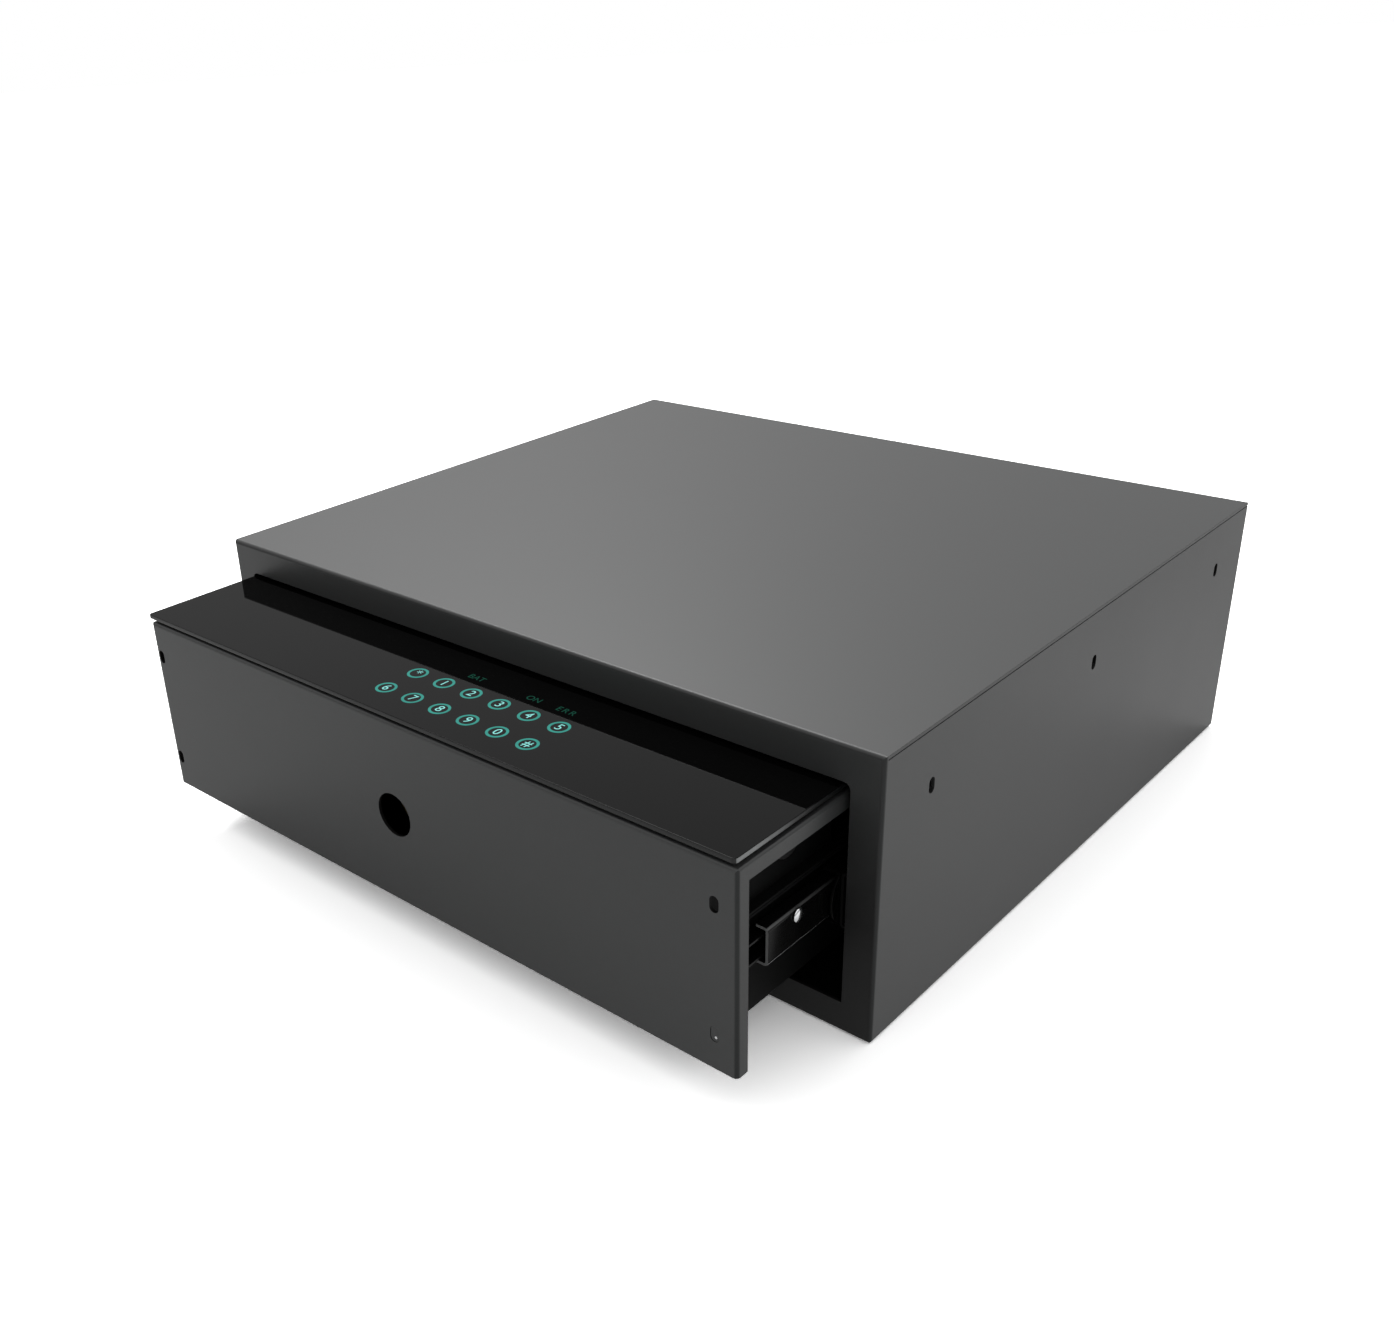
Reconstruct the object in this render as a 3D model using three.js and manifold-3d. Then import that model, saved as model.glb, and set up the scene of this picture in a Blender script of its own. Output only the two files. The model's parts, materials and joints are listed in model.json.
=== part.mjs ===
// Under-desk drawer safe, in millimetres with +Z up.
// The origin is the middle of the housing's underside, and the drawer opens towards -Y.
// A folded steel housing holds a drawer on two telescopic ball slides. The drawer's front
// carries a touch panel under glass, and a flat cam behind it drives two side bolts.

import * as THREE from 'three';
import { mergeVertices } from 'three/addons/utils/BufferGeometryUtils.js';
import Module from 'manifold-3d';

const wasm = await Module();
wasm.setup();

// Clearances
const seatGap = 0.3;
const past = 1;

// Housing: one folded sheet with a frame round the drawer opening, and a back pan
const housingWidth = 400;
const housingDepth = 350;
const housingHeight = 130;
const housingWall = 1.5;
const housingBend = 2;
const frameSide = 14;
const frameTop = 15.5;
const frameBottom = 14.5;
const frameCorner = 3;
const seamWidth = 0.4;
const seamDepth = 0.5;
const backPanWall = 1.2;
const backPanDepth = 12;

// Fixing slots in both sides of the housing
const slotWidth = 4;
const slotLength = 7;
const sideSlotBelowTop = 26.8;
const sideSlotFromFront = 35.3;
const sideSlotFromRear = 33.9;
const sideSlotCount = 3;

// Drawer front: a panel and a top plate folded from one sheet
const drawerOpen = 65.4;
const frontSideGap = 2.5;
const frontBottomGap = 2.5;
const coverWall = 1.5;
const coverBend = 2;
const coverSideBend = 1.5;
const returnFlange = 6.5;
const coverSkirt = 7.1;
const coverDepth = 88;
const keyHoleDiameter = 21;
const keyX = -3.4;
const keyBelowTop = 46.7;
const fasciaSlotFromLeft = 4.5;
const fasciaSlotFromRight = 10.5;
const fasciaSlotFromTop = 18.3;
const fasciaSlotFromBottom = 16.2;
const fasciaScrewDiameter = 3.4;
const fasciaScrewHead = 7.4;
const fasciaScrewHeadHeight = 2.4;
const fasciaScrewCrown = 3.7;
const fasciaScrewLength = 1.2;

// Touch panel: glass on a frame of foam tape, with its board in a window of the top plate
const glassTopGap = 1.6;
const glassThickness = 2.2;
const glassOverBack = 2;
const glassOverLeft = 1.5;
const glassShortRight = 1.2;
const glassCorner = 2;
const glassArris = 0.4;
const tapeThickness = 1.1;
const tapeInset = 3;
const tapeWidth = 6;
const windowLeft = -30;
const windowRight = 76;
const windowFront = 11;
const windowBack = 58;
const windowCorner = 3;
const windowGap = 0.5;
const boardThickness = 1.6;

// Tray: a folded box with a rim along each side
const traySideGap = 21;
const trayRearGap = 23;
const trayBelowCover = 38.6;
const trayWall = 1.2;
const trayBend = 2;
const trayRim = 5;
const trayRimFront = 8;
const trayKeyGap = 2.5;
const matThickness = 2;
const matGap = 0.5;

// Telescopic slides: a cabinet member, a middle member and a drawer member on each side
const slideWall = 1.2;
const slideBend = 0.5;
const slideWidth = 13.1;
const slideRimGap = 0.5;
const cabinetHeight = 25;
const cabinetLip = 8.2;
const cabinetRearGap = 47.5;
const cabinetFrontGap = 1;
const cabinetTongue = 6;
const middleHeight = 17.5;
const middleLip = 5.7;
const middleShorter = 15;
const middleFrontClosed = 10;
const middleWebGap = 1.7;
const middleBend = 0.8;
const innerHeight = 10.4;
const innerShorter = 8;
const innerFront = 5;
const innerWebGap = 1.3;
const slideRatio = 0.7;
const cageWall = 0.5;
const cageEnd = 6;
const cageBend = 0.4;
const ballClearance = 0.075;
const ballPitch = 16;
const outerBallsPerRow = 4;
const innerBallsPerRow = 5;
const outerCageClosed = 120;
const innerCageClosed = 100;
const rivetHead = 6.4;
const rivetHeadHeight = 1.3;
const rivetShank = 4;
const rivetFromFront = 19;
const rivetAboveCentre = 5.2;
const slideStudShank = 4;
const slideStudHead = 7;
const slideStudHeadHeight = 1.4;
const slideStudFromEnd = 60;

// Brackets between the slides and the housing's sides
const bracketWall = 1.2;
const bracketBend = 0.8;
const bracketHalfHeight = 13;
const bracketFoot = 7;
const bracketRearGap = 42;
const bracketFrontGap = 1.5;

// Rubber stops behind the tray
const bumperFromSide = 45;
const bumperBase = 16;
const bumperTip = 12;
const bumperTipEdge = 2;
const closedGap = 0.5;

// Lock chassis: rear wall and side wings that close the space under the glass
const chassisWall = 1.2;
const chassisRearInset = 1.6;
const chassisFlange = 12;
const chassisFootFront = 8;
const chassisSideGap = 2.5;
const plateBelowCover = 29;
const plateWall = 1.5;
const plateFront = 6;
const plateFlange = 7;

// Flat cam, its gear motor and the two side bolts
const camX = 0;
const camY = 54;
const camRadius = 29;
const camThickness = 3;
const camHubDiameter = 9;
const camHubHeight = 6;
const camHubCap = 1.2;
const camStart = 10;
const boltTravel = 14;
const camTurn = Math.PI / 2;
const camSlotMargin = THREE.MathUtils.degToRad(3);
const camSlotSteps = 12;
const camSlotGap = 0.3;
const camPinDiameter = 4;
const camPinDepth = 2.6;
const camBarGap = 0.6;
const washerDiameter = 20;
const washerThickness = 2.6;
const shaftDiameter = 5;
const shaftHoleDiameter = 10;
const motorDiameter = 22;
const gearboxLength = 16;
const motorCanDiameter = 19;
const motorCanLength = 20;
const boltDiameter = 10;
const boltTipChamfer = 1.2;
const boltTipInset = 0.2;
const boltRodLength = 46;
const boltBarWidth = 12;
const boltBarThickness = 3;
const boltBarEnd = 3.8;
const guideBore = 10.5;
const guideDiameter = 14;
const guideFlange = 18;
const guideFlangeThickness = 1.5;
const guideLength = 4;
const strikeWall = 2.5;
const strikeBend = 1.5;
const strikeHeight = 20;
const strikeFoot = 28;
const strikeRimGap = 2.5;
const strikeBoltGap = 0.6;

// Override key lock, set back behind the hole in the front
const tabHalfWidth = 16;
const tabWall = 1.5;
const tabY = 20;
const tabBelowKey = 15;
const cylinderHead = 22;
const cylinderHeadFront = 12;
const cylinderBody = 17.4;
const cylinderEnd = 36;
const cylinderFit = 0.3;
const plugDiameter = 12;
const plugProud = 0.5;
const plugTail = 8;
const plugTailEnd = 41;
const keywayWidth = 1.8;
const keywayHeight = 8;
const keywayDepth = 18;
const cylinderChamfer = 1;
const nutAcrossFlats = 24;
const nutThickness = 4;
const leverGap = 0.5;
const leverThickness = 1.5;
const leverReach = 15;
const leverHub = 6.5;
const leverTip = 3;

// Electronics, batteries and their cover
const pillarDiameter = 6;
const pillarHeight = 13;
const controlFromSide = 30;
const controlWidth = 90;
const controlFront = 10;
const controlDepth = 70;
const pillarInset = 5;
const boardScrewDiameter = 3;
const boardScrewHead = 5.5;
const boardScrewHeadHeight = 2;
const boardScrewLength = 8;
const chipSize = 14;
const chipHeight = 2;
const capacitorDiameter = 8;
const capacitorHeight = 6;
const capacitorInset = 16;
const headerLength = 24;
const headerWidth = 6;
const headerHeight = 6;
const headerInset = 6;
const switchX = -42;
const switchY = 68;
const switchLength = 20;
const switchWidth = 6.4;
const switchHeight = 10;
const switchButton = 3;
const cellDiameter = 14.2;
const cellLength = 48;
const cellTip = 5.4;
const cellTipLength = 1.4;
const cellPitch = 15.2;
const cellCount = 4;
const holderFromSide = 47;
const holderFront = 20;
const holderWall = 1.5;
const holderHeight = 13;
const holderEndGap = 3;
const contactWall = 0.4;
const contactHeight = 11;
const contactSpringBase = 8;
const contactSpringTip = 4;
const contactPad = 5;
const batteryDoorOverlap = 4;
const batteryDoorHeight = 19;
const batteryDoorWall = 1.2;
const doorScrewDiameter = 4;
const doorScrewHead = 10;
const doorScrewHeadHeight = 4;
const doorScrewChamfer = 1;
const doorScrewLength = 8;

// Facets
const bendSteps = 3;
const cornerSteps = 4;
const roundSteps = 24;
const smallRoundSteps = 12;
const camRimSteps = 48;
const ballSteps = 8;

// Places that follow from the sizes
const housingHalf = housingWidth / 2;
const housingInnerHalf = housingHalf - housingWall;
const openingHalf = housingHalf - frameSide;
const openingTop = housingHeight - frameTop;
const frontHalf = openingHalf - frontSideGap;
const frontBottom = frameBottom + frontBottomGap;
const sideSlotPitch = (housingDepth - sideSlotFromFront - sideSlotFromRear) / (sideSlotCount - 1);
const glassTop = openingTop - glassTopGap;
const glassBottom = glassTop - glassThickness;
const coverTop = glassBottom - tapeThickness - 2 * seatGap;
const coverUnder = coverTop - coverWall;
const keyZ = coverTop - keyBelowTop;
const fasciaSlotLeftX = -frontHalf + fasciaSlotFromLeft;
const fasciaSlotRightX = frontHalf - fasciaSlotFromRight;
const fasciaSlotTopZ = coverTop - fasciaSlotFromTop;
const fasciaSlotBottomZ = frontBottom + fasciaSlotFromBottom;
const glassLeft = -frontHalf - glassOverLeft;
const glassRight = frontHalf - glassShortRight;
const glassDepth = coverDepth + glassOverBack;
const trayHalf = openingHalf - traySideGap;
const trayFront = coverWall + seatGap;
const trayRear = housingDepth - trayRearGap;
const trayBottom = frontBottom + coverWall + seatGap;
const trayFloor = trayBottom + trayWall;
const trayTop = coverTop - trayBelowCover;
const slideZ = trayTop - trayWall - slideRimGap - cabinetHeight / 2;
const innerWebX = trayHalf + seatGap;
const cabinetWebX = innerWebX + slideWidth;
const middleWebX = cabinetWebX - slideWall - middleWebGap;
const innerLipX = middleWebX - slideWall - innerWebGap;
const cabinetFront = coverWall + cabinetFrontGap;
const cabinetLength = housingDepth - cabinetRearGap - cabinetFront;
const middleLength = cabinetLength - middleShorter;
const innerLength = cabinetLength - innerShorter;
const slideStudPlaces = [
  ['front', innerFront + slideStudFromEnd],
  ['rear', innerFront + innerLength - slideStudFromEnd],
];
const plateBottomZ = coverTop - plateBelowCover;
const plateTopZ = plateBottomZ + plateWall;
const washerZ = plateTopZ + seatGap;
const camZ = washerZ + washerThickness + seatGap;
const barZ = camZ + camThickness + camBarGap;
const boltZ = barZ + boltBarThickness / 2;
const wingX = trayHalf;
const chassisRear = coverDepth - chassisRearInset;
const chassisBottom = trayTop + seatGap;
const chassisTop = coverUnder - seatGap;
const chassisRearInner = chassisRear - chassisWall;
const camPitch = boltTravel / camTurn;
const controlRight = wingX - controlFromSide;
const controlLeft = controlRight - controlWidth;
const controlBack = controlFront + controlDepth;
const holderX = -(wingX - holderFromSide);

// Outlines: lists of 2-D points, with round corners as arcs

function rounded(corners, steps = bendSteps) {
  const points = [];
  corners.forEach(([x, y, radius = 0], i) => {
    const corner = new THREE.Vector2(x, y);
    if (radius <= 0) {
      points.push(corner);
      return;
    }
    const before = new THREE.Vector2(...corners.at(i - 1)).sub(corner).normalize();
    const after = new THREE.Vector2(...corners[(i + 1) % corners.length]).sub(corner).normalize();
    const half = Math.acos(before.dot(after)) / 2;
    const middle = before.clone().add(after).normalize();
    const centre = corner.clone().addScaledVector(middle, radius / Math.sin(half));
    const start = corner.clone().addScaledVector(before, radius / Math.tan(half)).sub(centre);
    const end = corner.clone().addScaledVector(after, radius / Math.tan(half)).sub(centre);
    const sweep = Math.atan2(start.cross(end), start.dot(end));
    for (let k = 0; k <= steps; k++) {
      points.push(start.clone().rotateAround(new THREE.Vector2(), (sweep * k) / steps).add(centre));
    }
  });
  return points;
}

function rectangle(x0, x1, y0, y1, [r00 = 0, r10 = 0, r11 = 0, r01 = 0] = [], steps = bendSteps) {
  return rounded([[x0, y0, r00], [x1, y0, r10], [x1, y1, r11], [x0, y1, r01]], steps);
}

function circle(x, y, radius, steps = roundSteps) {
  return Array.from({ length: steps }, (_, k) => {
    const angle = (2 * Math.PI * k) / steps;
    return new THREE.Vector2(x + radius * Math.cos(angle), y + radius * Math.sin(angle));
  });
}

function arc(x, y, radius, from, to, steps = 2 * cornerSteps) {
  return Array.from({ length: steps + 1 }, (_, k) => {
    const angle = from + ((to - from) * k) / steps;
    return new THREE.Vector2(x + radius * Math.cos(angle), y + radius * Math.sin(angle));
  });
}

// An upright slot with round ends
function obround(x, y, width, length) {
  const end = width / 2;
  const reach = length / 2 - end;
  return [...arc(x, y + reach, end, 0, Math.PI), ...arc(x, y - reach, end, Math.PI, 2 * Math.PI)];
}

// The outline of a bent sheet: an open path of straight stretches, given along the sheet's
// middle, with a bend of the given inner radius at each corner.
function sheetOutline(path, thickness, bend) {
  const line = [];
  path.forEach(([x, y], i) => {
    if (i === 0 || i === path.length - 1) {
      line.push(new THREE.Vector2(x, y));
      return;
    }
    const corner = rounded([path[i - 1], [x, y, bend + thickness / 2], path[i + 1]]);
    line.push(...corner.slice(1, -1));
  });
  const offset = (side) => line.map((point, i) => {
    const along = (line[i + 1] ?? point).clone().sub(line[i - 1] ?? point).normalize();
    const back = point.clone().sub(line[i - 1] ?? line[i + 1]).normalize();
    const stretch = i === 0 ? 1 : Math.abs(back.dot(along));
    const reach = (side * thickness) / 2 / stretch;
    return new THREE.Vector2(-along.y, along.x).multiplyScalar(reach).add(point);
  });
  return [...offset(1), ...offset(-1).reverse()];
}

// Solids

function toSolid(geometry) {
  const bare = geometry.clone();
  bare.deleteAttribute('normal');
  bare.deleteAttribute('uv');
  const merged = mergeVertices(bare, 1e-5);
  const vertProperties = new Float32Array(merged.attributes.position.array);
  const triVerts = new Uint32Array(merged.index.array);
  return new wasm.Manifold(new wasm.Mesh({ numProp: 3, vertProperties, triVerts }));
}

function extrude(outline, length, basis) {
  const shape = new THREE.Shape(outline);
  return new THREE.ExtrudeGeometry(shape, { depth: length, bevelEnabled: false }).applyMatrix4(basis);
}

const xAxis = new THREE.Vector3(1, 0, 0);
const yAxis = new THREE.Vector3(0, 1, 0);
const zAxis = new THREE.Vector3(0, 0, 1);

// An outline in (Y, Z) drawn out along X
function alongX(outline, from, to) {
  const basis = new THREE.Matrix4().makeBasis(yAxis, zAxis, xAxis).setPosition(from, 0, 0);
  return toSolid(extrude(outline, to - from, basis));
}

// An outline in (X, Z) drawn out along Y
function alongY(outline, from, to) {
  const basis = new THREE.Matrix4().makeBasis(xAxis, zAxis, yAxis.clone().negate()).setPosition(0, to, 0);
  return toSolid(extrude(outline, to - from, basis));
}

// An outline in (X, Y) drawn out along Z
function alongZ(outline, from, to) {
  const basis = new THREE.Matrix4().setPosition(0, 0, from);
  return toSolid(extrude(outline, to - from, basis));
}

function block(x0, x1, y0, y1, z0, z1) {
  return alongZ(rectangle(Math.min(x0, x1), Math.max(x0, x1), y0, y1), z0, z1);
}

// Turned pieces: profile points are [radius, place along the axis]
function lathe(profile, steps) {
  return new THREE.LatheGeometry(profile.map(([radius, along]) => new THREE.Vector2(radius, along)), steps);
}

// About an axis along Y through (x, z)
function turned(x, z, profile, steps = roundSteps) {
  return toSolid(lathe(profile, steps).translate(x, 0, z));
}

// About an axis along Z through (x, y)
function turnedUp(x, y, profile, steps = roundSteps) {
  return toSolid(lathe(profile, steps).rotateX(Math.PI / 2).translate(x, y, 0));
}

// About an axis along X through (y, z), with the profile running out to side s
function turnedOut(s, y, z, profile, steps = roundSteps) {
  return toSolid(lathe(profile, steps).rotateZ((-s * Math.PI) / 2).translate(0, y, z));
}

function union(solids) {
  return solids.reduce((whole, solid) => whole.add(solid));
}

function without(solid, cuts) {
  return cuts.reduce((rest, cut) => rest.subtract(cut), solid);
}

// Finishes

function finish(color, roughness, metalness) {
  return new THREE.MeshStandardMaterial({ color, roughness, metalness });
}

const blackPaint = finish(0x3f4040, 0.55, 0.3);
const blackPaintInside = finish(0x2c2d2d, 0.6, 0.3);
const blackGlass = finish(0x0b0c0c, 0.06, 0);
const foamBlack = finish(0x161616, 0.95, 0);
const blackedSteel = finish(0x2e2f30, 0.45, 0.8);
const zincSteel = finish(0xb4b7b9, 0.35, 1);
const brightSteel = finish(0xd0d2d3, 0.25, 1);
const brass = finish(0xb59a57, 0.35, 1);
const nylonWhite = finish(0xdcdad2, 0.6, 0);
const plasticBlack = finish(0x1c1c1d, 0.6, 0);
const boardGreen = finish(0x1d5b3a, 0.5, 0);
const cellWrap = finish(0x3b6ea5, 0.4, 0.1);
const rubberBlack = finish(0x1a1a1a, 0.9, 0);
const feltGrey = finish(0x2f3033, 1, 0);

// Assembly: local Y runs inwards from the front of the housing, or of the drawer when it moves with it

const safe = new THREE.Group();
const housing = new THREE.Group();
const drawer = new THREE.Group();
const middleMembers = new THREE.Group();
const outerCages = new THREE.Group();
const innerCages = new THREE.Group();
housing.position.y = -housingDepth / 2;
drawer.position.y = -drawerOpen;
middleMembers.position.y = middleFrontClosed - slideRatio * drawerOpen;
outerCages.position.y = outerCageClosed - (slideRatio / 2) * drawerOpen;
innerCages.position.y = innerCageClosed - ((1 + slideRatio) / 2) * drawerOpen;
housing.add(drawer, middleMembers, outerCages, innerCages);
safe.add(housing);

function place(group, name, solid, material) {
  const { vertProperties, triVerts } = solid.getMesh();
  const indexed = new THREE.BufferGeometry();
  indexed.setAttribute('position', new THREE.BufferAttribute(vertProperties, 3));
  indexed.setIndex(new THREE.BufferAttribute(triVerts, 1));
  const geometry = indexed.toNonIndexed();
  geometry.computeVertexNormals();
  const mesh = new THREE.Mesh(geometry, material);
  mesh.name = name;
  group.add(mesh);
}

const sides = [['left', -1], ['right', 1]];

// Housing shell: frame, sides, top and base, with a seam where the top meets each side

function housingShell() {
  const half = housingHalf;
  const bend = housingBend;
  const plan = alongZ(rectangle(-half, half, 0, housingDepth, [bend, bend]), 0, housingHeight);
  const profile = alongX(rectangle(0, housingDepth, 0, housingHeight, [bend, 0, 0, bend]), -half, half);
  const section = alongY(rectangle(-half, half, 0, housingHeight, [bend, bend]), 0, housingDepth);
  const hollow = block(-housingInnerHalf, housingInnerHalf, housingWall, housingDepth + past,
    housingWall, housingHeight - housingWall);
  const corners = [0, 0, frameCorner, frameCorner];
  const opening = alongY(rectangle(-openingHalf, openingHalf, frameBottom, openingTop, corners, cornerSteps),
    -past, housingWall + past);
  const slots = Array.from({ length: sideSlotCount }, (_, i) => {
    const y = sideSlotFromFront + i * sideSlotPitch;
    const shape = obround(y, housingHeight - sideSlotBelowTop, slotWidth, slotLength);
    return alongX(shape, -half - past, half + past);
  });
  const seamTop = housingHeight - housingWall;
  const seams = sides.map(([, s]) => block(s * (half - seamDepth), s * (half + past),
    housingBend, housingDepth + past, seamTop - seamWidth, seamTop));
  return without(plan.intersect(profile).intersect(section), [hollow, opening, ...slots, ...seams]);
}

place(housing, 'housing_shell', housingShell(), blackPaint);

// Back pan: closes the housing, with edges turned forward inside the shell

function housingBack() {
  const half = housingInnerHalf - seatGap;
  const bottom = housingWall + seatGap;
  const top = housingHeight - housingWall - seatGap;
  const pan = block(-half, half, housingDepth - backPanDepth, housingDepth, bottom, top);
  const hollow = block(-half + backPanWall, half - backPanWall, housingDepth - backPanDepth - past,
    housingDepth - backPanWall, bottom + backPanWall, top - backPanWall);
  return pan.subtract(hollow);
}

place(housing, 'housing_back', housingBack(), blackPaint);

// Rubber stops: the closed tray comes to rest just in front of them

const bumperBack = housingDepth - backPanWall - seatGap;
const bumperFront = trayRear + closedGap;
const bumperZ = (trayBottom + trayTop) / 2;
const bumperX = trayHalf - bumperFromSide;
for (const [name, s] of sides) {
  const bumper = turned(s * bumperX, bumperZ, [
    [0, bumperFront], [bumperTip / 2 - bumperTipEdge, bumperFront],
    [bumperTip / 2, bumperFront + bumperTipEdge], [bumperBase / 2, bumperBack], [0, bumperBack],
  ], smallRoundSteps);
  place(housing, `rear_bumper_${name}`, bumper, rubberBlack);
}

// Slide brackets: hat-section rails that hold the cabinet members off the housing's sides

const bracketInnerX = cabinetWebX + seatGap + bracketWall / 2;
const bracketOuterX = housingInnerHalf - seatGap - bracketWall / 2;
const bracketFront = returnFlange + bracketFrontGap;

function slideBracket(s) {
  const web = bracketHalfHeight - bracketWall / 2;
  const foot = bracketHalfHeight + bracketFoot;
  const path = [
    [s * bracketOuterX, slideZ + foot], [s * bracketOuterX, slideZ + web],
    [s * bracketInnerX, slideZ + web], [s * bracketInnerX, slideZ - web],
    [s * bracketOuterX, slideZ - web], [s * bracketOuterX, slideZ - foot],
  ];
  return alongY(sheetOutline(path, bracketWall, bracketBend), bracketFront, housingDepth - bracketRearGap);
}

// A slide member's channel: a web at webX and two lips that reach to lipX
function channel(s, webX, lipX, height, wall, bend) {
  const lip = height / 2 - wall / 2;
  const path = [
    [s * lipX, slideZ + lip], [s * webX, slideZ + lip], [s * webX, slideZ - lip], [s * lipX, slideZ - lip],
  ];
  return sheetOutline(path, wall, bend);
}

// Cabinet member: its front end is rounded off, and stands just behind the closed drawer's panel
function cabinetMember(s) {
  const front = cabinetFront;
  const rear = front + cabinetLength;
  const webX = cabinetWebX - slideWall / 2;
  const outline = channel(s, webX, cabinetWebX - cabinetLip, cabinetHeight, slideWall, slideBend);
  const member = alongY(outline, front, rear);
  const half = cabinetHeight / 2;
  const radius = (half ** 2 + cabinetTongue ** 2) / (2 * cabinetTongue);
  const reach = Math.asin(half / radius);
  const tongue = arc(front + radius, slideZ, radius, Math.PI - reach, Math.PI + reach);
  const square = [-half, half].map((z) => new THREE.Vector2(rear + past, slideZ + z));
  const blank = alongX([...tongue, ...square], s * cabinetWebX - slideWidth, s * cabinetWebX + slideWidth);
  return member.intersect(blank);
}

// Middle member: runs in the cabinet member on one row of balls, and carries the drawer's on another
const middleHole = rivetShank + 2 * seatGap;
const rivetZ = slideZ + rivetAboveCentre;

function middleMember(s) {
  const webX = middleWebX - slideWall / 2;
  const outline = channel(s, webX, middleWebX - middleLip, middleHeight, slideWall, middleBend);
  const member = alongY(outline, 0, middleLength);
  const hole = alongX(circle(rivetFromFront, rivetZ, middleHole / 2, smallRoundSteps),
    s * webX - slideWall, s * webX + slideWall);
  return member.subtract(hole);
}

function middleRivet(s) {
  const face = middleWebX + seatGap;
  const radius = rivetHead / 2;
  const dome = arc(0, 0, 1, 0, Math.PI / 2, cornerSteps)
    .map(({ x, y }) => [radius * x, face + rivetHeadHeight * y]);
  dome.at(-1)[0] = 0;
  const shankEnd = middleWebX - slideWall;
  const profile = [[0, shankEnd], [rivetShank / 2, shankEnd], [rivetShank / 2, face], ...dome];
  return turnedOut(s, rivetFromFront, rivetZ, profile, smallRoundSteps);
}

// Drawer member: held by two headed studs that are welded to the tray's side
function drawerMember(s) {
  const webX = innerWebX + slideWall / 2;
  const outline = channel(s, webX, innerLipX, innerHeight, slideWall, slideBend);
  const member = alongY(outline, innerFront, innerFront + innerLength);
  const holes = slideStudPlaces.map(([, y]) => alongX(
    circle(y, slideZ, slideStudShank / 2 + seatGap, smallRoundSteps),
    s * webX - slideWall, s * webX + slideWall));
  return without(member, holes);
}

// Each stud stands on the tray's side and has its head in the drawer member's channel
function slideStud(s, y) {
  const foot = trayHalf + seatGap;
  const face = innerWebX + slideWall + seatGap;
  const shank = slideStudShank / 2;
  return turnedOut(s, y, slideZ, [
    [0, foot], [shank, foot], [shank, face], [slideStudHead / 2, face],
    [shank, face + slideStudHeadHeight], [0, face + slideStudHeadHeight],
  ], smallRoundSteps);
}

// Ball cage: a thin channel between two members, with a row of balls held in each lip
function ballCage(s, { webX, lipX, rowHeight, ballX, ball, count }) {
  const length = 2 * cageEnd + (count - 1) * ballPitch;
  const cage = alongY(channel(s, webX, lipX, 2 * rowHeight + cageWall, cageWall, cageBend), 0, length);
  const balls = [];
  for (let i = 0; i < count; i++) {
    for (const row of [-1, 1]) {
      const sphere = new THREE.SphereGeometry(ball / 2, ballSteps, ballSteps - 2);
      sphere.rotateX(Math.PI / 2);
      sphere.translate(s * ballX, cageEnd + i * ballPitch, slideZ + row * rowHeight);
      balls.push(toSolid(sphere));
    }
  }
  return union([cage, ...balls]);
}

const outerRace = cabinetHeight / 2 - slideWall;
const outerRow = (outerRace + middleHeight / 2) / 2;
const outerBall = outerRace - middleHeight / 2 - 2 * ballClearance;
const innerRace = middleHeight / 2 - slideWall;
const innerRow = (innerRace + innerHeight / 2) / 2;
const innerBall = innerRace - innerHeight / 2 - 2 * ballClearance;
const outerCage = {
  webX: middleWebX + middleWebGap / 2,
  lipX: middleWebX - middleLip + outerBall / 2,
  rowHeight: outerRow,
  ballX: middleWebX - middleLip / 2,
  ball: outerBall,
  count: outerBallsPerRow,
};
const innerCage = {
  webX: innerLipX + innerWebGap / 2,
  lipX: middleWebX - middleLip,
  rowHeight: innerRow,
  ballX: (innerLipX + middleWebX - middleLip) / 2,
  ball: innerBall,
  count: innerBallsPerRow,
};

for (const [name, s] of sides) {
  place(housing, `slide_bracket_${name}`, slideBracket(s), blackPaintInside);
  place(housing, `cabinet_member_${name}`, cabinetMember(s), blackedSteel);
  place(middleMembers, `middle_member_${name}`, middleMember(s), blackedSteel);
  place(middleMembers, `middle_rivet_${name}`, middleRivet(s), brightSteel);
  place(drawer, `drawer_member_${name}`, drawerMember(s), blackedSteel);
  for (const [end, y] of slideStudPlaces) {
    place(drawer, `slide_stud_${name}_${end}`, slideStud(s, y), zincSteel);
  }
  place(outerCages, `outer_ball_cage_${name}`, ballCage(s, outerCage), zincSteel);
  place(innerCages, `inner_ball_cage_${name}`, ballCage(s, innerCage), zincSteel);
}

// Strike brackets: angles on the housing's sides that the bolts lock behind

const strikeInnerX = trayHalf + trayRim + strikeRimGap;
const strikeY = camY - boltDiameter / 2 - strikeBoltGap - strikeWall / 2;

function strikeBracket(s) {
  const footX = housingInnerHalf - seatGap - strikeWall / 2;
  const path = [[s * strikeInnerX, strikeY], [s * footX, strikeY], [s * footX, strikeY + strikeFoot]];
  const half = strikeHeight / 2;
  return alongZ(sheetOutline(path, strikeWall, strikeBend), boltZ - half, boltZ + half);
}

for (const [name, s] of sides) {
  place(housing, `strike_bracket_${name}`, strikeBracket(s), zincSteel);
}

// Drawer front and top cover: one folded sheet with turned-in edges

function fasciaSlots() {
  const slots = [];
  for (const x of [fasciaSlotLeftX, fasciaSlotRightX]) {
    for (const z of [fasciaSlotTopZ, fasciaSlotBottomZ]) {
      slots.push(alongY(obround(x, z, slotWidth, slotLength), -past, coverWall + past));
    }
  }
  return slots;
}

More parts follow.
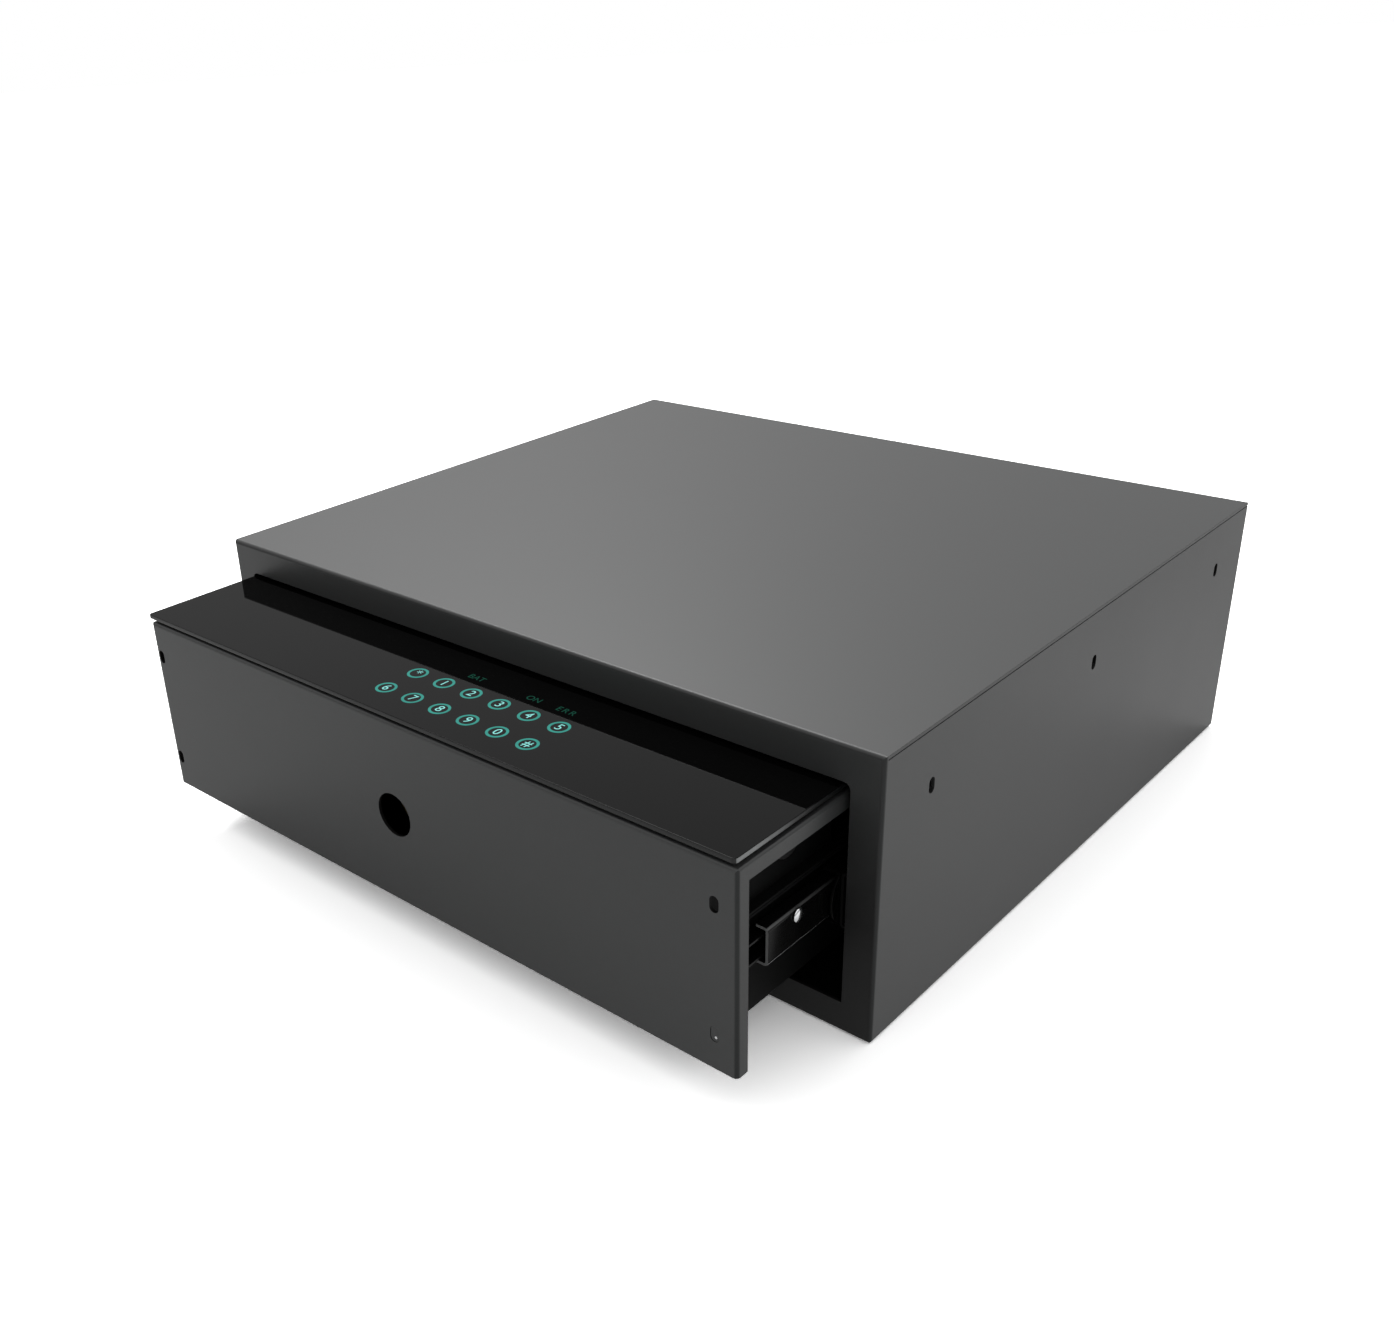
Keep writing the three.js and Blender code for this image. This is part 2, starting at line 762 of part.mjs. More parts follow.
function drawerFrontCover() {
  const half = frontHalf;
  const bend = coverBend;
  const side = coverSideBend;
  const plan = alongZ(rectangle(-half, half, 0, coverDepth, [bend, bend]), frontBottom, coverTop);
  const profile = alongX(rectangle(0, coverDepth, frontBottom, coverTop, [0, 0, 0, bend]), -half, half);
  const section = alongY(rectangle(-half, half, frontBottom, coverTop, [0, 0, side, side]), 0, coverDepth);
  const innerHalf = half - coverWall;
  const hollow = block(-innerHalf, innerHalf, coverWall, coverDepth + past,
    frontBottom + coverWall, coverUnder);
  const below = block(-half - past, half + past, returnFlange, coverDepth + past,
    frontBottom - past, coverTop - coverSkirt);
  const keyHole = alongY(circle(keyX, keyZ, keyHoleDiameter / 2), -past, coverWall + past);
  const corner = windowCorner;
  const window = alongZ(rectangle(windowLeft, windowRight, windowFront, windowBack,
    [corner, corner, corner, corner]), coverUnder - past, coverTop + past);
  const cuts = [hollow, below, keyHole, window, ...fasciaSlots()];
  return without(plan.intersect(profile).intersect(section), cuts);
}

place(drawer, 'drawer_front_cover', drawerFrontCover(), blackPaint);

// Screw left in the lower right slot: it holds a wooden fascia from behind

function fasciaScrew() {
  const back = coverWall + seatGap;
  return turned(fasciaSlotRightX, fasciaSlotBottomZ, [
    [0, back - fasciaScrewLength], [fasciaScrewDiameter / 2, back - fasciaScrewLength],
    [fasciaScrewDiameter / 2, back], [fasciaScrewHead / 2, back],
    [fasciaScrewHead / 2, back + fasciaScrewHeadHeight / 2],
    [fasciaScrewCrown / 2, back + fasciaScrewHeadHeight], [0, back + fasciaScrewHeadHeight],
  ], smallRoundSteps);
}

place(drawer, 'fascia_screw', fasciaScrew(), blackedSteel);

// Touch panel

function touchGlass() {
  const corner = glassCorner - glassArris;
  const inset = glassArris;
  const outline = rectangle(glassLeft + inset, glassRight - inset, inset, glassDepth - inset,
    [corner, corner, corner, corner]);
  const geometry = new THREE.ExtrudeGeometry(new THREE.Shape(outline), {
    depth: glassThickness - 2 * glassArris,
    bevelThickness: glassArris,
    bevelSize: glassArris,
    bevelSegments: 1,
  });
  return toSolid(geometry.translate(0, 0, glassBottom + glassArris));
}

function glassTape() {
  const bottom = coverTop + seatGap;
  const left = glassLeft + tapeInset;
  const right = glassRight - tapeInset;
  const back = coverDepth - tapeInset;
  const band = block(left, right, tapeInset, back, bottom, bottom + tapeThickness);
  const middle = block(left + tapeWidth, right - tapeWidth, tapeInset + tapeWidth, back - tapeWidth,
    bottom - past, bottom + tapeThickness + past);
  return band.subtract(middle);
}

function keypadBoard() {
  const top = glassBottom - seatGap;
  const corner = windowCorner - windowGap;
  const outline = rectangle(windowLeft + windowGap, windowRight - windowGap, windowFront + windowGap,
    windowBack - windowGap, [corner, corner, corner, corner]);
  return alongZ(outline, top - boardThickness, top);
}

place(drawer, 'touch_glass', touchGlass(), blackGlass);
place(drawer, 'glass_tape', glassTape(), foamBlack);
place(drawer, 'keypad_board', keypadBoard(), boardGreen);

// Tray: folded box, with a rim turned out over each slide

function tray() {
  const half = trayHalf;
  const bend = trayBend;
  const section = alongY(rectangle(-half, half, trayBottom, trayTop, [bend, bend]), trayFront, trayRear);
  const profile = alongX(rectangle(trayFront, trayRear, trayBottom, trayTop, [bend, bend]), -half, half);
  const rimHalf = half + trayRim;
  const rim = block(-rimHalf, rimHalf, trayRimFront, trayRear - trayRimFront, trayTop - trayWall, trayTop);
  const innerHalf = half - trayWall;
  const hollow = block(-innerHalf, innerHalf, trayFront + trayWall, trayRear - trayWall,
    trayFloor, trayTop + past);
  const keyHole = alongY(circle(keyX, keyZ, keyHoleDiameter / 2 + trayKeyGap), trayFront - past,
    trayFront + trayWall + past);
  return without(section.intersect(profile).add(rim), [hollow, keyHole]);
}

function trayMat() {
  const half = trayHalf - trayWall - matGap;
  return block(-half, half, chassisRear + batteryDoorWall + doorScrewHeadHeight, trayRear - trayWall - matGap,
    trayFloor + seatGap, trayFloor + seatGap + matThickness);
}

place(drawer, 'tray', tray(), blackPaintInside);
place(drawer, 'tray_mat', trayMat(), feltGrey);

// Lock chassis: stands on the tray's rims and carries the top cover

const cellRowHalf = ((cellCount - 1) * cellPitch + cellDiameter) / 2;
const holderBottom = trayFloor + seatGap;
const cellZ = holderBottom + holderWall + seatGap + cellDiameter / 2;
const doorBottom = holderBottom;
const doorTop = doorBottom + batteryDoorHeight;
const doorScrewX = holderX;
const doorScrewZ = doorTop + doorScrewHead / 2;
const doorPlateTop = doorScrewZ + doorScrewHead / 2;

function lockChassis() {
  const top = chassisTop;
  const front = coverWall + seatGap;
  const box = block(-wingX, wingX, front, chassisRear, chassisBottom, top);
  const innerX = wingX - chassisWall;
  const hollow = block(-innerX, innerX, front + chassisWall, chassisRearInner, chassisBottom - past,
    top - chassisWall);
  const clearX = wingX - chassisFlange;
  const topCut = block(-clearX, clearX, front - past, chassisRearInner - chassisFlange,
    top - chassisWall - past, top + past);
  const frontCut = block(-clearX, clearX, front - past, front + chassisWall + past,
    chassisBottom - past, top + past);
  const shell = without(box, [hollow, topCut, frontCut]);
  const lowerHalf = trayHalf - trayWall - chassisSideGap;
  const lowerWall = block(-lowerHalf, lowerHalf, chassisRearInner, chassisRear,
    holderBottom, chassisBottom + past);
  const feet = sides.map(([, s]) => block(s * innerX, s * (wingX + trayRim), chassisFootFront, chassisRear,
    chassisBottom, chassisBottom + chassisWall));
  const guideHole = guideDiameter / 2 + seatGap;
  const boltHoles = alongX(circle(camY, boltZ, guideHole), -wingX - past, wingX + past);
  const hatch = block(holderX - cellRowHalf, holderX + cellRowHalf,
    chassisRearInner - past, chassisRear + past,
    doorBottom + batteryDoorOverlap / 2, doorTop - batteryDoorOverlap / 2);
  const screwHole = alongY(circle(doorScrewX, doorScrewZ, doorScrewDiameter / 2 + seatGap, smallRoundSteps),
    chassisRearInner - past, chassisRear + past);
  return without(union([shell, lowerWall, ...feet]), [boltHoles, hatch, screwHole]);
}

place(drawer, 'lock_chassis', lockChassis(), blackPaintInside);

// Mechanism plate: a shelf across the chassis, with pillars for the board and a tab for the key lock

const plateHalf = wingX - chassisWall - seatGap;
const boardZ = plateTopZ + pillarHeight + seatGap;
const cylinderHole = cylinderBody / 2 + cylinderFit;
const pillarPlaces = [controlLeft + pillarInset, controlRight - pillarInset].flatMap((x) =>
  [controlFront + pillarInset, controlBack - pillarInset].map((y) => [x, y]));
const boardScrewSeat = boardZ + boardThickness + seatGap;

function boardScrewHoles() {
  const bottom = boardScrewSeat - boardScrewLength - seatGap;
  return pillarPlaces.map(([x, y]) => alongZ(circle(x, y, boardScrewDiameter / 2 + seatGap, smallRoundSteps),
    bottom, boardScrewSeat + past));
}

function mechanismPlate() {
  const rear = chassisRearInner - seatGap;
  const plate = block(-plateHalf, plateHalf, plateFront, rear, plateBottomZ, plateTopZ);
  const flanges = sides.map(([, s]) => block(s * (plateHalf - plateWall), s * plateHalf, plateFront, rear,
    plateBottomZ - plateFlange, plateTopZ));
  const tab = block(keyX - tabHalfWidth, keyX + tabHalfWidth, tabY, tabY + tabWall,
    keyZ - tabBelowKey, plateTopZ);
  const pillars = pillarPlaces.map(([x, y]) => alongZ(circle(x, y, pillarDiameter / 2, smallRoundSteps),
    plateBottomZ, plateTopZ + pillarHeight));
  const shaftHole = alongZ(circle(camX, camY, shaftHoleDiameter / 2), plateBottomZ - past, plateTopZ + past);
  const lockHole = alongY(circle(keyX, keyZ, cylinderHole), tabY - past, tabY + tabWall + past);
  return without(union([plate, ...flanges, tab, ...pillars]), [shaftHole, lockHole, ...boardScrewHoles()]);
}

place(drawer, 'mechanism_plate', mechanismPlate(), zincSteel);

// Cam: two spiral slots push the bolts out by the same distance for each degree of turn

function spiralSlot(start) {
  const half = camPinDiameter / 2 + camSlotGap;
  const turn = camTurn + 2 * camSlotMargin;
  const line = Array.from({ length: camSlotSteps + 1 }, (_, k) => {
    const swept = (turn * k) / camSlotSteps - camSlotMargin;
    const outwards = new THREE.Vector2(1, 0).rotateAround(new THREE.Vector2(), start - swept);
    const round = new THREE.Vector2(outwards.y, -outwards.x);
    const radius = camStart + camPitch * swept;
    const point = outwards.clone().multiplyScalar(radius).add(new THREE.Vector2(camX, camY));
    const ahead = outwards.multiplyScalar(camPitch).addScaledVector(round, radius).normalize();
    return { point, ahead };
  });
  const beside = ({ point, ahead }, angle) => ahead.clone().multiplyScalar(half)
    .rotateAround(new THREE.Vector2(), angle).add(point);
  const quarter = Math.PI / 2;
  const cap = (station, from) => Array.from({ length: cornerSteps - 1 }, (_, k) =>
    beside(station, from - (Math.PI * (k + 1)) / cornerSteps));
  const left = line.map((station) => beside(station, quarter));
  const right = line.map((station) => beside(station, -quarter)).reverse();
  return [...left, ...cap(line.at(-1), quarter), ...right, ...cap(line[0], -quarter)];
}

function lockCam() {
  const top = camZ + camThickness;
  const disc = alongZ(circle(camX, camY, camRadius, camRimSteps), camZ, top);
  const hub = alongZ(circle(camX, camY, camHubDiameter / 2), camZ, top + camHubHeight);
  const bore = alongZ(circle(camX, camY, shaftDiameter / 2 + seatGap, smallRoundSteps), camZ - past,
    top + camHubHeight - camHubCap);
  const slots = [0, Math.PI].map((start) => alongZ(spiralSlot(start), camZ - past, top + past));
  return without(disc.add(hub), [bore, ...slots]);
}

function camWasher() {
  const top = washerZ + washerThickness;
  const ring = alongZ(circle(camX, camY, washerDiameter / 2), washerZ, top);
  const bore = alongZ(circle(camX, camY, shaftHoleDiameter / 2), washerZ - past, top + past);
  return ring.subtract(bore);
}

const motorTop = plateBottomZ - seatGap;

function lockMotor() {
  const gearbox = alongZ(circle(camX, camY, motorDiameter / 2), motorTop - gearboxLength, motorTop);
  const can = alongZ(circle(camX, camY, motorCanDiameter / 2), motorTop - gearboxLength - motorCanLength,
    motorTop - gearboxLength + past);
  return gearbox.add(can);
}

function motorShaft() {
  return alongZ(circle(camX, camY, shaftDiameter / 2, smallRoundSteps), motorTop + seatGap,
    camZ + camThickness + camHubHeight - camHubCap - seatGap);
}

place(drawer, 'lock_cam', lockCam(), zincSteel);
place(drawer, 'cam_washer', camWasher(), nylonWhite);
place(drawer, 'lock_motor', lockMotor(), brightSteel);
place(drawer, 'motor_shaft', motorShaft(), brightSteel);

// Bolts: a flat bar that rides over the cam on a pin, and a round end that slides in a nylon guide

const boltTip = wingX - boltTipInset;

function lockBolt(s) {
  const rodStart = boltTip - boltRodLength;
  const radius = boltDiameter / 2;
  const profile = [[0, rodStart], [radius, rodStart], [radius, boltTip - boltTipChamfer],
    [radius - boltTipChamfer, boltTip], [0, boltTip]];
  const rod = turnedOut(s, camY, boltZ, profile);
  const barStart = camX + s * (camStart - boltBarEnd);
  const half = boltBarWidth / 2;
  const bar = block(barStart, s * (rodStart + radius), camY - half, camY + half,
    barZ, barZ + boltBarThickness);
  const pin = alongZ(circle(camX + s * camStart, camY, camPinDiameter / 2, smallRoundSteps),
    camZ + camThickness - camPinDepth, barZ + past);
  return union([rod, bar, pin]);
}

function boltGuide(s) {
  const outside = wingX + seatGap;
  const profile = [
    [guideBore / 2, outside - guideLength], [guideDiameter / 2, outside - guideLength],
    [guideDiameter / 2, outside], [guideFlange / 2, outside],
    [guideFlange / 2, outside + guideFlangeThickness], [guideBore / 2, outside + guideFlangeThickness],
  ];
  profile.push(profile[0]);
  return turnedOut(s, camY, boltZ, profile);
}

for (const [name, s] of sides) {
  place(drawer, `lock_bolt_${name}`, lockBolt(s), brightSteel);
  place(drawer, `bolt_guide_${name}`, boltGuide(s), plasticBlack);
}

// Override key lock: cylinder, nut, turning plug and the lever on its tail

function keyCylinder() {
  const shoulder = tabY - seatGap;
  const bore = plugDiameter / 2 + cylinderFit;
  const profile = [
    [bore, cylinderHeadFront], [cylinderHead / 2 - cylinderChamfer, cylinderHeadFront],
    [cylinderHead / 2, cylinderHeadFront + cylinderChamfer], [cylinderHead / 2, shoulder],
    [cylinderBody / 2, shoulder], [cylinderBody / 2, cylinderEnd], [bore, cylinderEnd],
  ];
  profile.push(profile[0]);
  return turned(keyX, keyZ, profile);
}

function cylinderNut() {
  const front = tabY + tabWall + seatGap;
  const corner = nutAcrossFlats / Math.sqrt(3);
  const hexagon = alongY(circle(keyX, keyZ, corner, 6), front, front + nutThickness);
  const bore = alongY(circle(keyX, keyZ, cylinderHole), front - past, front + nutThickness + past);
  return hexagon.subtract(bore);
}

const leverFront = cylinderEnd + seatGap + leverGap;

function keyPlug() {
  const front = cylinderHeadFront - plugProud;
  const body = turned(keyX, keyZ, [
    [0, front], [plugDiameter / 2, front], [plugDiameter / 2, cylinderEnd + seatGap],
    [plugTail / 2, cylinderEnd + seatGap], [plugTail / 2, plugTailEnd], [0, plugTailEnd],
  ]);
  const keyway = block(keyX - keywayWidth / 2, keyX + keywayWidth / 2, front - past, front + keywayDepth,
    keyZ - keywayHeight / 2, keyZ + keywayHeight / 2);
  return body.subtract(keyway);
}

function keyLever() {
  const outline = [
    ...arc(keyX, keyZ, leverHub, -Math.PI / 2, Math.PI / 2),
    ...arc(keyX - leverReach + leverTip, keyZ, leverTip, Math.PI / 2, (3 * Math.PI) / 2),
  ];
  const plate = alongY(outline, leverFront, leverFront + leverThickness);
  const bore = alongY(circle(keyX, keyZ, plugTail / 2 + seatGap), leverFront - past,
    leverFront + leverThickness + past);
  return plate.subtract(bore);
}

place(drawer, 'key_cylinder', keyCylinder(), brass);
place(drawer, 'cylinder_nut', cylinderNut(), zincSteel);
place(drawer, 'key_plug', keyPlug(), brass);
place(drawer, 'key_lever', keyLever(), zincSteel);

// Control board on its pillars, and the switch that senses the cam

function controlBoard() {
  const top = boardZ + boardThickness;
  const board = block(controlLeft, controlRight, controlFront, controlBack, boardZ, top);
  const middleX = (controlLeft + controlRight) / 2;
  const middleY = (controlFront + controlBack) / 2;
  const chip = block(middleX - chipSize / 2, middleX + chipSize / 2,
    middleY - chipSize / 2, middleY + chipSize / 2, top, top + chipHeight);
  const capacitor = alongZ(circle(controlRight - capacitorInset, middleY, capacitorDiameter / 2,
    smallRoundSteps), top, top + capacitorHeight);
  const headerLeft = controlLeft + headerInset;
  const header = block(headerLeft, headerLeft + headerWidth, middleY - headerLength / 2,
    middleY + headerLength / 2, top, top + headerHeight);
  return without(union([board, chip, capacitor, header]), boardScrewHoles());
}

function boardScrew(x, y) {
  return turnedUp(x, y, [
    [0, boardScrewSeat - boardScrewLength],
    [boardScrewDiameter / 2, boardScrewSeat - boardScrewLength],
    [boardScrewDiameter / 2, boardScrewSeat], [boardScrewHead / 2, boardScrewSeat],
    [boardScrewHead / 2, boardScrewSeat + boardScrewHeadHeight / 2],
    [boardScrewDiameter / 2, boardScrewSeat + boardScrewHeadHeight],
    [0, boardScrewSeat + boardScrewHeadHeight],
  ], smallRoundSteps);
}

function positionSwitch() {
  const bottom = plateTopZ + seatGap;
  const body = block(switchX - switchLength / 2, switchX + switchLength / 2, switchY - switchWidth / 2,
    switchY + switchWidth / 2, bottom, bottom + switchHeight);
  const buttonBottom = bottom + (switchHeight - switchButton) / 2;
  const button = block(switchX + switchLength / 2, switchX + switchLength / 2 + switchButton / 2,
    switchY - switchButton / 2, switchY + switchButton / 2, buttonBottom, buttonBottom + switchButton);
  return body.add(button);
}

place(drawer, 'control_board', controlBoard(), boardGreen);
pillarPlaces.forEach(([x, y], i) => place(drawer, `board_screw_${i + 1}`, boardScrew(x, y), zincSteel));
place(drawer, 'position_switch', positionSwitch(), plasticBlack);

// Battery holder on the tray's floor, four cells and a screwed cover over the hatch behind them

const holderHalf = cellRowHalf + holderWall + seatGap;
const holderBack = holderFront + 2 * holderWall + 2 * holderEndGap + cellLength + cellTipLength;

function batteryHolder() {
  const box = block(holderX - holderHalf, holderX + holderHalf, holderFront, holderBack, holderBottom,
    holderBottom + holderHeight);
  const innerHalf = holderHalf - holderWall;
  const hollow = block(holderX - innerHalf, holderX + innerHalf, holderFront + holderWall,
    holderBack - holderWall, holderBottom + holderWall, holderBottom + holderHeight + past);
  return box.subtract(hollow);
}

const cellPlaces = Array.from({ length: cellCount }, (_, i) =>
  holderX + (i - (cellCount - 1) / 2) * cellPitch);

function cell(x) {
  const front = holderFront + holderWall + holderEndGap;
  return turned(x, cellZ, [
    [0, front], [cellDiameter / 2, front], [cellDiameter / 2, front + cellLength],
    [cellTip / 2, front + cellLength], [cellTip / 2, front + cellLength + cellTipLength],
    [0, front + cellLength + cellTipLength],
  ], smallRoundSteps);
}

// Contact strips: a plate at each end of the holder, with a tapered spring or a raised pad for each cell
function contactPlate(face, into) {
  return block(holderX - cellRowHalf, holderX + cellRowHalf, Math.min(face, face + into * contactWall),
    Math.max(face, face + into * contactWall), cellZ - contactHeight / 2, cellZ + contactHeight / 2);
}

function contactFront() {
  const face = holderFront + holderWall + seatGap;
  const tip = holderFront + holderWall + holderEndGap - seatGap;
  const springs = cellPlaces.map((x) => turned(x, cellZ, [
    [0, face], [contactSpringBase / 2, face], [contactSpringBase / 2, face + contactWall],
    [contactSpringTip / 2, tip], [0, tip],
  ], smallRoundSteps));
  return union([contactPlate(face, 1), ...springs]);
}

function contactRear() {
  const face = holderBack - holderWall - seatGap;
  const tip = holderBack - holderWall - holderEndGap + seatGap;
  const pads = cellPlaces.map((x) => turned(x, cellZ, [
    [0, tip], [contactPad / 2, tip], [contactPad / 2, face], [0, face],
  ], smallRoundSteps));
  return union([contactPlate(face, -1), ...pads]);
}

function batteryDoor() {
  const front = chassisRear + seatGap;
  const half = cellRowHalf + batteryDoorOverlap;
  const plate = block(holderX - half, holderX + half, front, front + batteryDoorWall,
    doorBottom, doorPlateTop);
  const hole = alongY(circle(doorScrewX, doorScrewZ, doorScrewDiameter / 2 + seatGap, smallRoundSteps),
    front - past, front + batteryDoorWall + past);
  return plate.subtract(hole);
}

function doorScrew() {
  const face = chassisRear + 2 * seatGap + batteryDoorWall;
  return turned(doorScrewX, doorScrewZ, [
    [0, face - doorScrewLength], [doorScrewDiameter / 2, face - doorScrewLength],
    [doorScrewDiameter / 2, face], [doorScrewHead / 2, face],
    [doorScrewHead / 2, face + doorScrewHeadHeight - doorScrewChamfer],
    [doorScrewHead / 2 - doorScrewChamfer, face + doorScrewHeadHeight], [0, face + doorScrewHeadHeight],
  ], smallRoundSteps);
}

place(drawer, 'battery_holder', batteryHolder(), plasticBlack);
cellPlaces.forEach((x, i) => place(drawer, `battery_${i + 1}`, cell(x), cellWrap));
place(drawer, 'battery_contact_front', contactFront(), brightSteel);
place(drawer, 'battery_contact_rear', contactRear(), brightSteel);
place(drawer, 'battery_cover', batteryDoor(), blackPaintInside);
place(drawer, 'battery_cover_screw', doorScrew(), zincSteel);

export default safe;
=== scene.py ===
"""The looks of an under desk drawer safe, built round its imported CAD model."""
import json
import math

import bmesh
import bpy
from mathutils import Matrix, Vector, noise

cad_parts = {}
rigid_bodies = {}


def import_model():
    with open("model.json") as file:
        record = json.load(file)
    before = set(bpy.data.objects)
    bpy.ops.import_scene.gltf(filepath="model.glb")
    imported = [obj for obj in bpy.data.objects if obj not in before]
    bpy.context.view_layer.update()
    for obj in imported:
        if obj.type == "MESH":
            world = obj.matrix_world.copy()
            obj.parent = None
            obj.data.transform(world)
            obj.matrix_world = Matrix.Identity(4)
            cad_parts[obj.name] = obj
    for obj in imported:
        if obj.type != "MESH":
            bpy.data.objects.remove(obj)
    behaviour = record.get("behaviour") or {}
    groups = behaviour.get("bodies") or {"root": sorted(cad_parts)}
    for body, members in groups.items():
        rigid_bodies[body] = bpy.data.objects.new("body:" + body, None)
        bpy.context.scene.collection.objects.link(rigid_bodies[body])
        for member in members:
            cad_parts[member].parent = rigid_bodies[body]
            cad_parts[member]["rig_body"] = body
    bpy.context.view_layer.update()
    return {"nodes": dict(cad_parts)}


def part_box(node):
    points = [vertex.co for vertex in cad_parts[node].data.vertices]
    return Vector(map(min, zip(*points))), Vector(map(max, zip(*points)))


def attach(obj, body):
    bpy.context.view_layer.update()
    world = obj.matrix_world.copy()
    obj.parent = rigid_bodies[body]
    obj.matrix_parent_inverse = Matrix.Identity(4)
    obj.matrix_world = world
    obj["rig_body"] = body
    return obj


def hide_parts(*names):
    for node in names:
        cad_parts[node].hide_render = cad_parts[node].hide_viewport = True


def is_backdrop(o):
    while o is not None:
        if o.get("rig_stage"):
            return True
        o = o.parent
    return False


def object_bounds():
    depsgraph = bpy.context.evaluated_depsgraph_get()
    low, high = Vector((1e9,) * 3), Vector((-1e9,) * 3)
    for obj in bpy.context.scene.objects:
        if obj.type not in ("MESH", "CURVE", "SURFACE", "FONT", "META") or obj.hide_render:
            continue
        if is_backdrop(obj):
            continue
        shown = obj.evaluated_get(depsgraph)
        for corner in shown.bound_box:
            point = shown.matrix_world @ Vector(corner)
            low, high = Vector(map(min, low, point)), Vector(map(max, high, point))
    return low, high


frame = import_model()
scene = bpy.context.scene

# Camera
# The photograph looks down on the right front corner from about 0.8 m away, with the camera held
# slightly askew. It was cropped off its centre, which the lens shift stands for.
IMAGE_WIDTH = 1394
FOCAL_PIXELS = 1413.9
CROP_PIXELS = (124, 37)
CAMERA_PLACE = (0.4288, -0.5695, 0.3759)
HEADING, TILT, ROLL = 44.14, 63.98, -3.08

lens = bpy.data.cameras.new("camera")
lens.sensor_width = 36
lens.lens = lens.sensor_width * FOCAL_PIXELS / IMAGE_WIDTH
lens.shift_x = CROP_PIXELS[0] / IMAGE_WIDTH
lens.shift_y = CROP_PIXELS[1] / IMAGE_WIDTH
lens.clip_start = 0.01
camera = bpy.data.objects.new("camera", lens)
scene.collection.objects.link(camera)
camera.matrix_world = (
    Matrix.Translation(CAMERA_PLACE)
    @ Matrix.Rotation(math.radians(HEADING), 4, "Z")
    @ Matrix.Rotation(math.radians(TILT), 4, "X")
    @ Matrix.Rotation(math.radians(ROLL), 4, "Z")
)
scene.camera = camera
scene.view_settings.view_transform = "Standard"

# White studio
# A white sweep under a white sky, with one large soft lamp behind the safe on its left. In
# reflections the sky is dim at the horizon and bright overhead, and the floor is brightest beside
# the safe's right side. The floor keeps the shadow.


def linear(code):
    """The linear colour of an sRGB hex code."""
    channels = [int(code[i:i + 2], 16) / 255 for i in (1, 3, 5)]
    return (*[c / 12.92 if c <= 0.04045 else ((c + 0.055) / 1.055) ** 2.4 for c in channels], 1.0)


def fill(tree, target, inputs):
    """Sets the inputs of a node, by name or number. An input given as a socket is linked."""
    for name, value in inputs.items():
        if isinstance(value, bpy.types.NodeSocket):
            tree.links.new(value, target.inputs[name])
        else:
            target.inputs[name].default_value = value


def node(tree, kind, inputs=None, **settings):
    """Adds a node and sets its properties and its inputs."""
    new = tree.nodes.new(kind)
    for name, value in settings.items():
        setattr(new, name, value)
    fill(tree, new, inputs or {})
    return new


def seen_as(tree, by_camera, by_gloss, otherwise):
    """A value for rays from the camera, one for rays off a glossy surface and one for other light."""
    rays = node(tree, "ShaderNodeLightPath").outputs
    other = node(tree, "ShaderNodeMapRange",
                 {"Value": rays["Is Glossy Ray"], "To Min": otherwise, "To Max": by_gloss})
    return node(tree, "ShaderNodeMix",
                {0: rays["Is Camera Ray"], 2: other.outputs[0], 3: by_camera}).outputs[0]


FLOOR_RADIUS = 12
FLOOR_DROP = 0.0003
BRIGHT_PATCH = (0.42, -0.08, 0.0)
PATCH_REACH = (0.05, 0.5)
PATCH_GLOW = 0.5
SKY_RISE = (0.25, 0.53)
SKY_IN_GLOSS = (0.4, 1.42)
LAMP_PLACE = Vector((-1.85, 1.36, 2.9))
LAMP_AIM = Vector((-0.05, 0.0, 0.1))
LAMP_SIZE = 1.4
LAMP_WATTS = 88

sky = bpy.data.worlds.new("white sky")
sky.use_nodes = True
sky.node_tree.nodes.clear()
scene.world = sky
direction = node(sky.node_tree, "ShaderNodeTexCoord").outputs["Generated"]
rise = node(sky.node_tree, "ShaderNodeSeparateXYZ", {"Vector": direction}).outputs["Z"]
mirrored_sky = node(sky.node_tree, "ShaderNodeMapRange",
                    {"Value": rise, "From Min": SKY_RISE[0], "From Max": SKY_RISE[1],
                     "To Min": SKY_IN_GLOSS[0], "To Max": SKY_IN_GLOSS[1]}).outputs[0]
sky_strength = seen_as(sky.node_tree, by_camera=1.0, by_gloss=mirrored_sky, otherwise=1.0)
sky_light = node(sky.node_tree, "ShaderNodeBackground",
                 {"Color": linear("#ffffff"), "Strength": sky_strength})
node(sky.node_tree, "ShaderNodeOutputWorld", {"Surface": sky_light.outputs[0]})

sweep_finish = bpy.data.materials.new("matt white paper sweep")
sweep_finish.use_nodes = True
sweep_tree = sweep_finish.node_tree
sweep_tree.nodes.clear()
paper_white = seen_as(sweep_tree, by_camera=1.5, by_gloss=0.61, otherwise=0.9)
paper = node(sweep_tree, "ShaderNodeBsdfDiffuse", {"Color": paper_white})
floor_place = node(sweep_tree, "ShaderNodeTexCoord").outputs["Object"]
from_patch = node(sweep_tree, "ShaderNodeVectorMath", {0: floor_place, 1: BRIGHT_PATCH},
                  operation="DISTANCE").outputs["Value"]
patch_glow = node(sweep_tree, "ShaderNodeMapRange",
                  {"Value": from_patch, "From Min": PATCH_REACH[0], "From Max": PATCH_REACH[1],
                   "To Min": PATCH_GLOW, "To Max": 0.0}).outputs[0]
glow_strength = seen_as(sweep_tree, by_camera=0.08, by_gloss=patch_glow, otherwise=0.0)
paper_glow = node(sweep_tree, "ShaderNodeEmission",
                  {"Color": linear("#ffffff"), "Strength": glow_strength})
paper_seen = node(sweep_tree, "ShaderNodeAddShader", {0: paper.outputs[0], 1: paper_glow.outputs[0]})
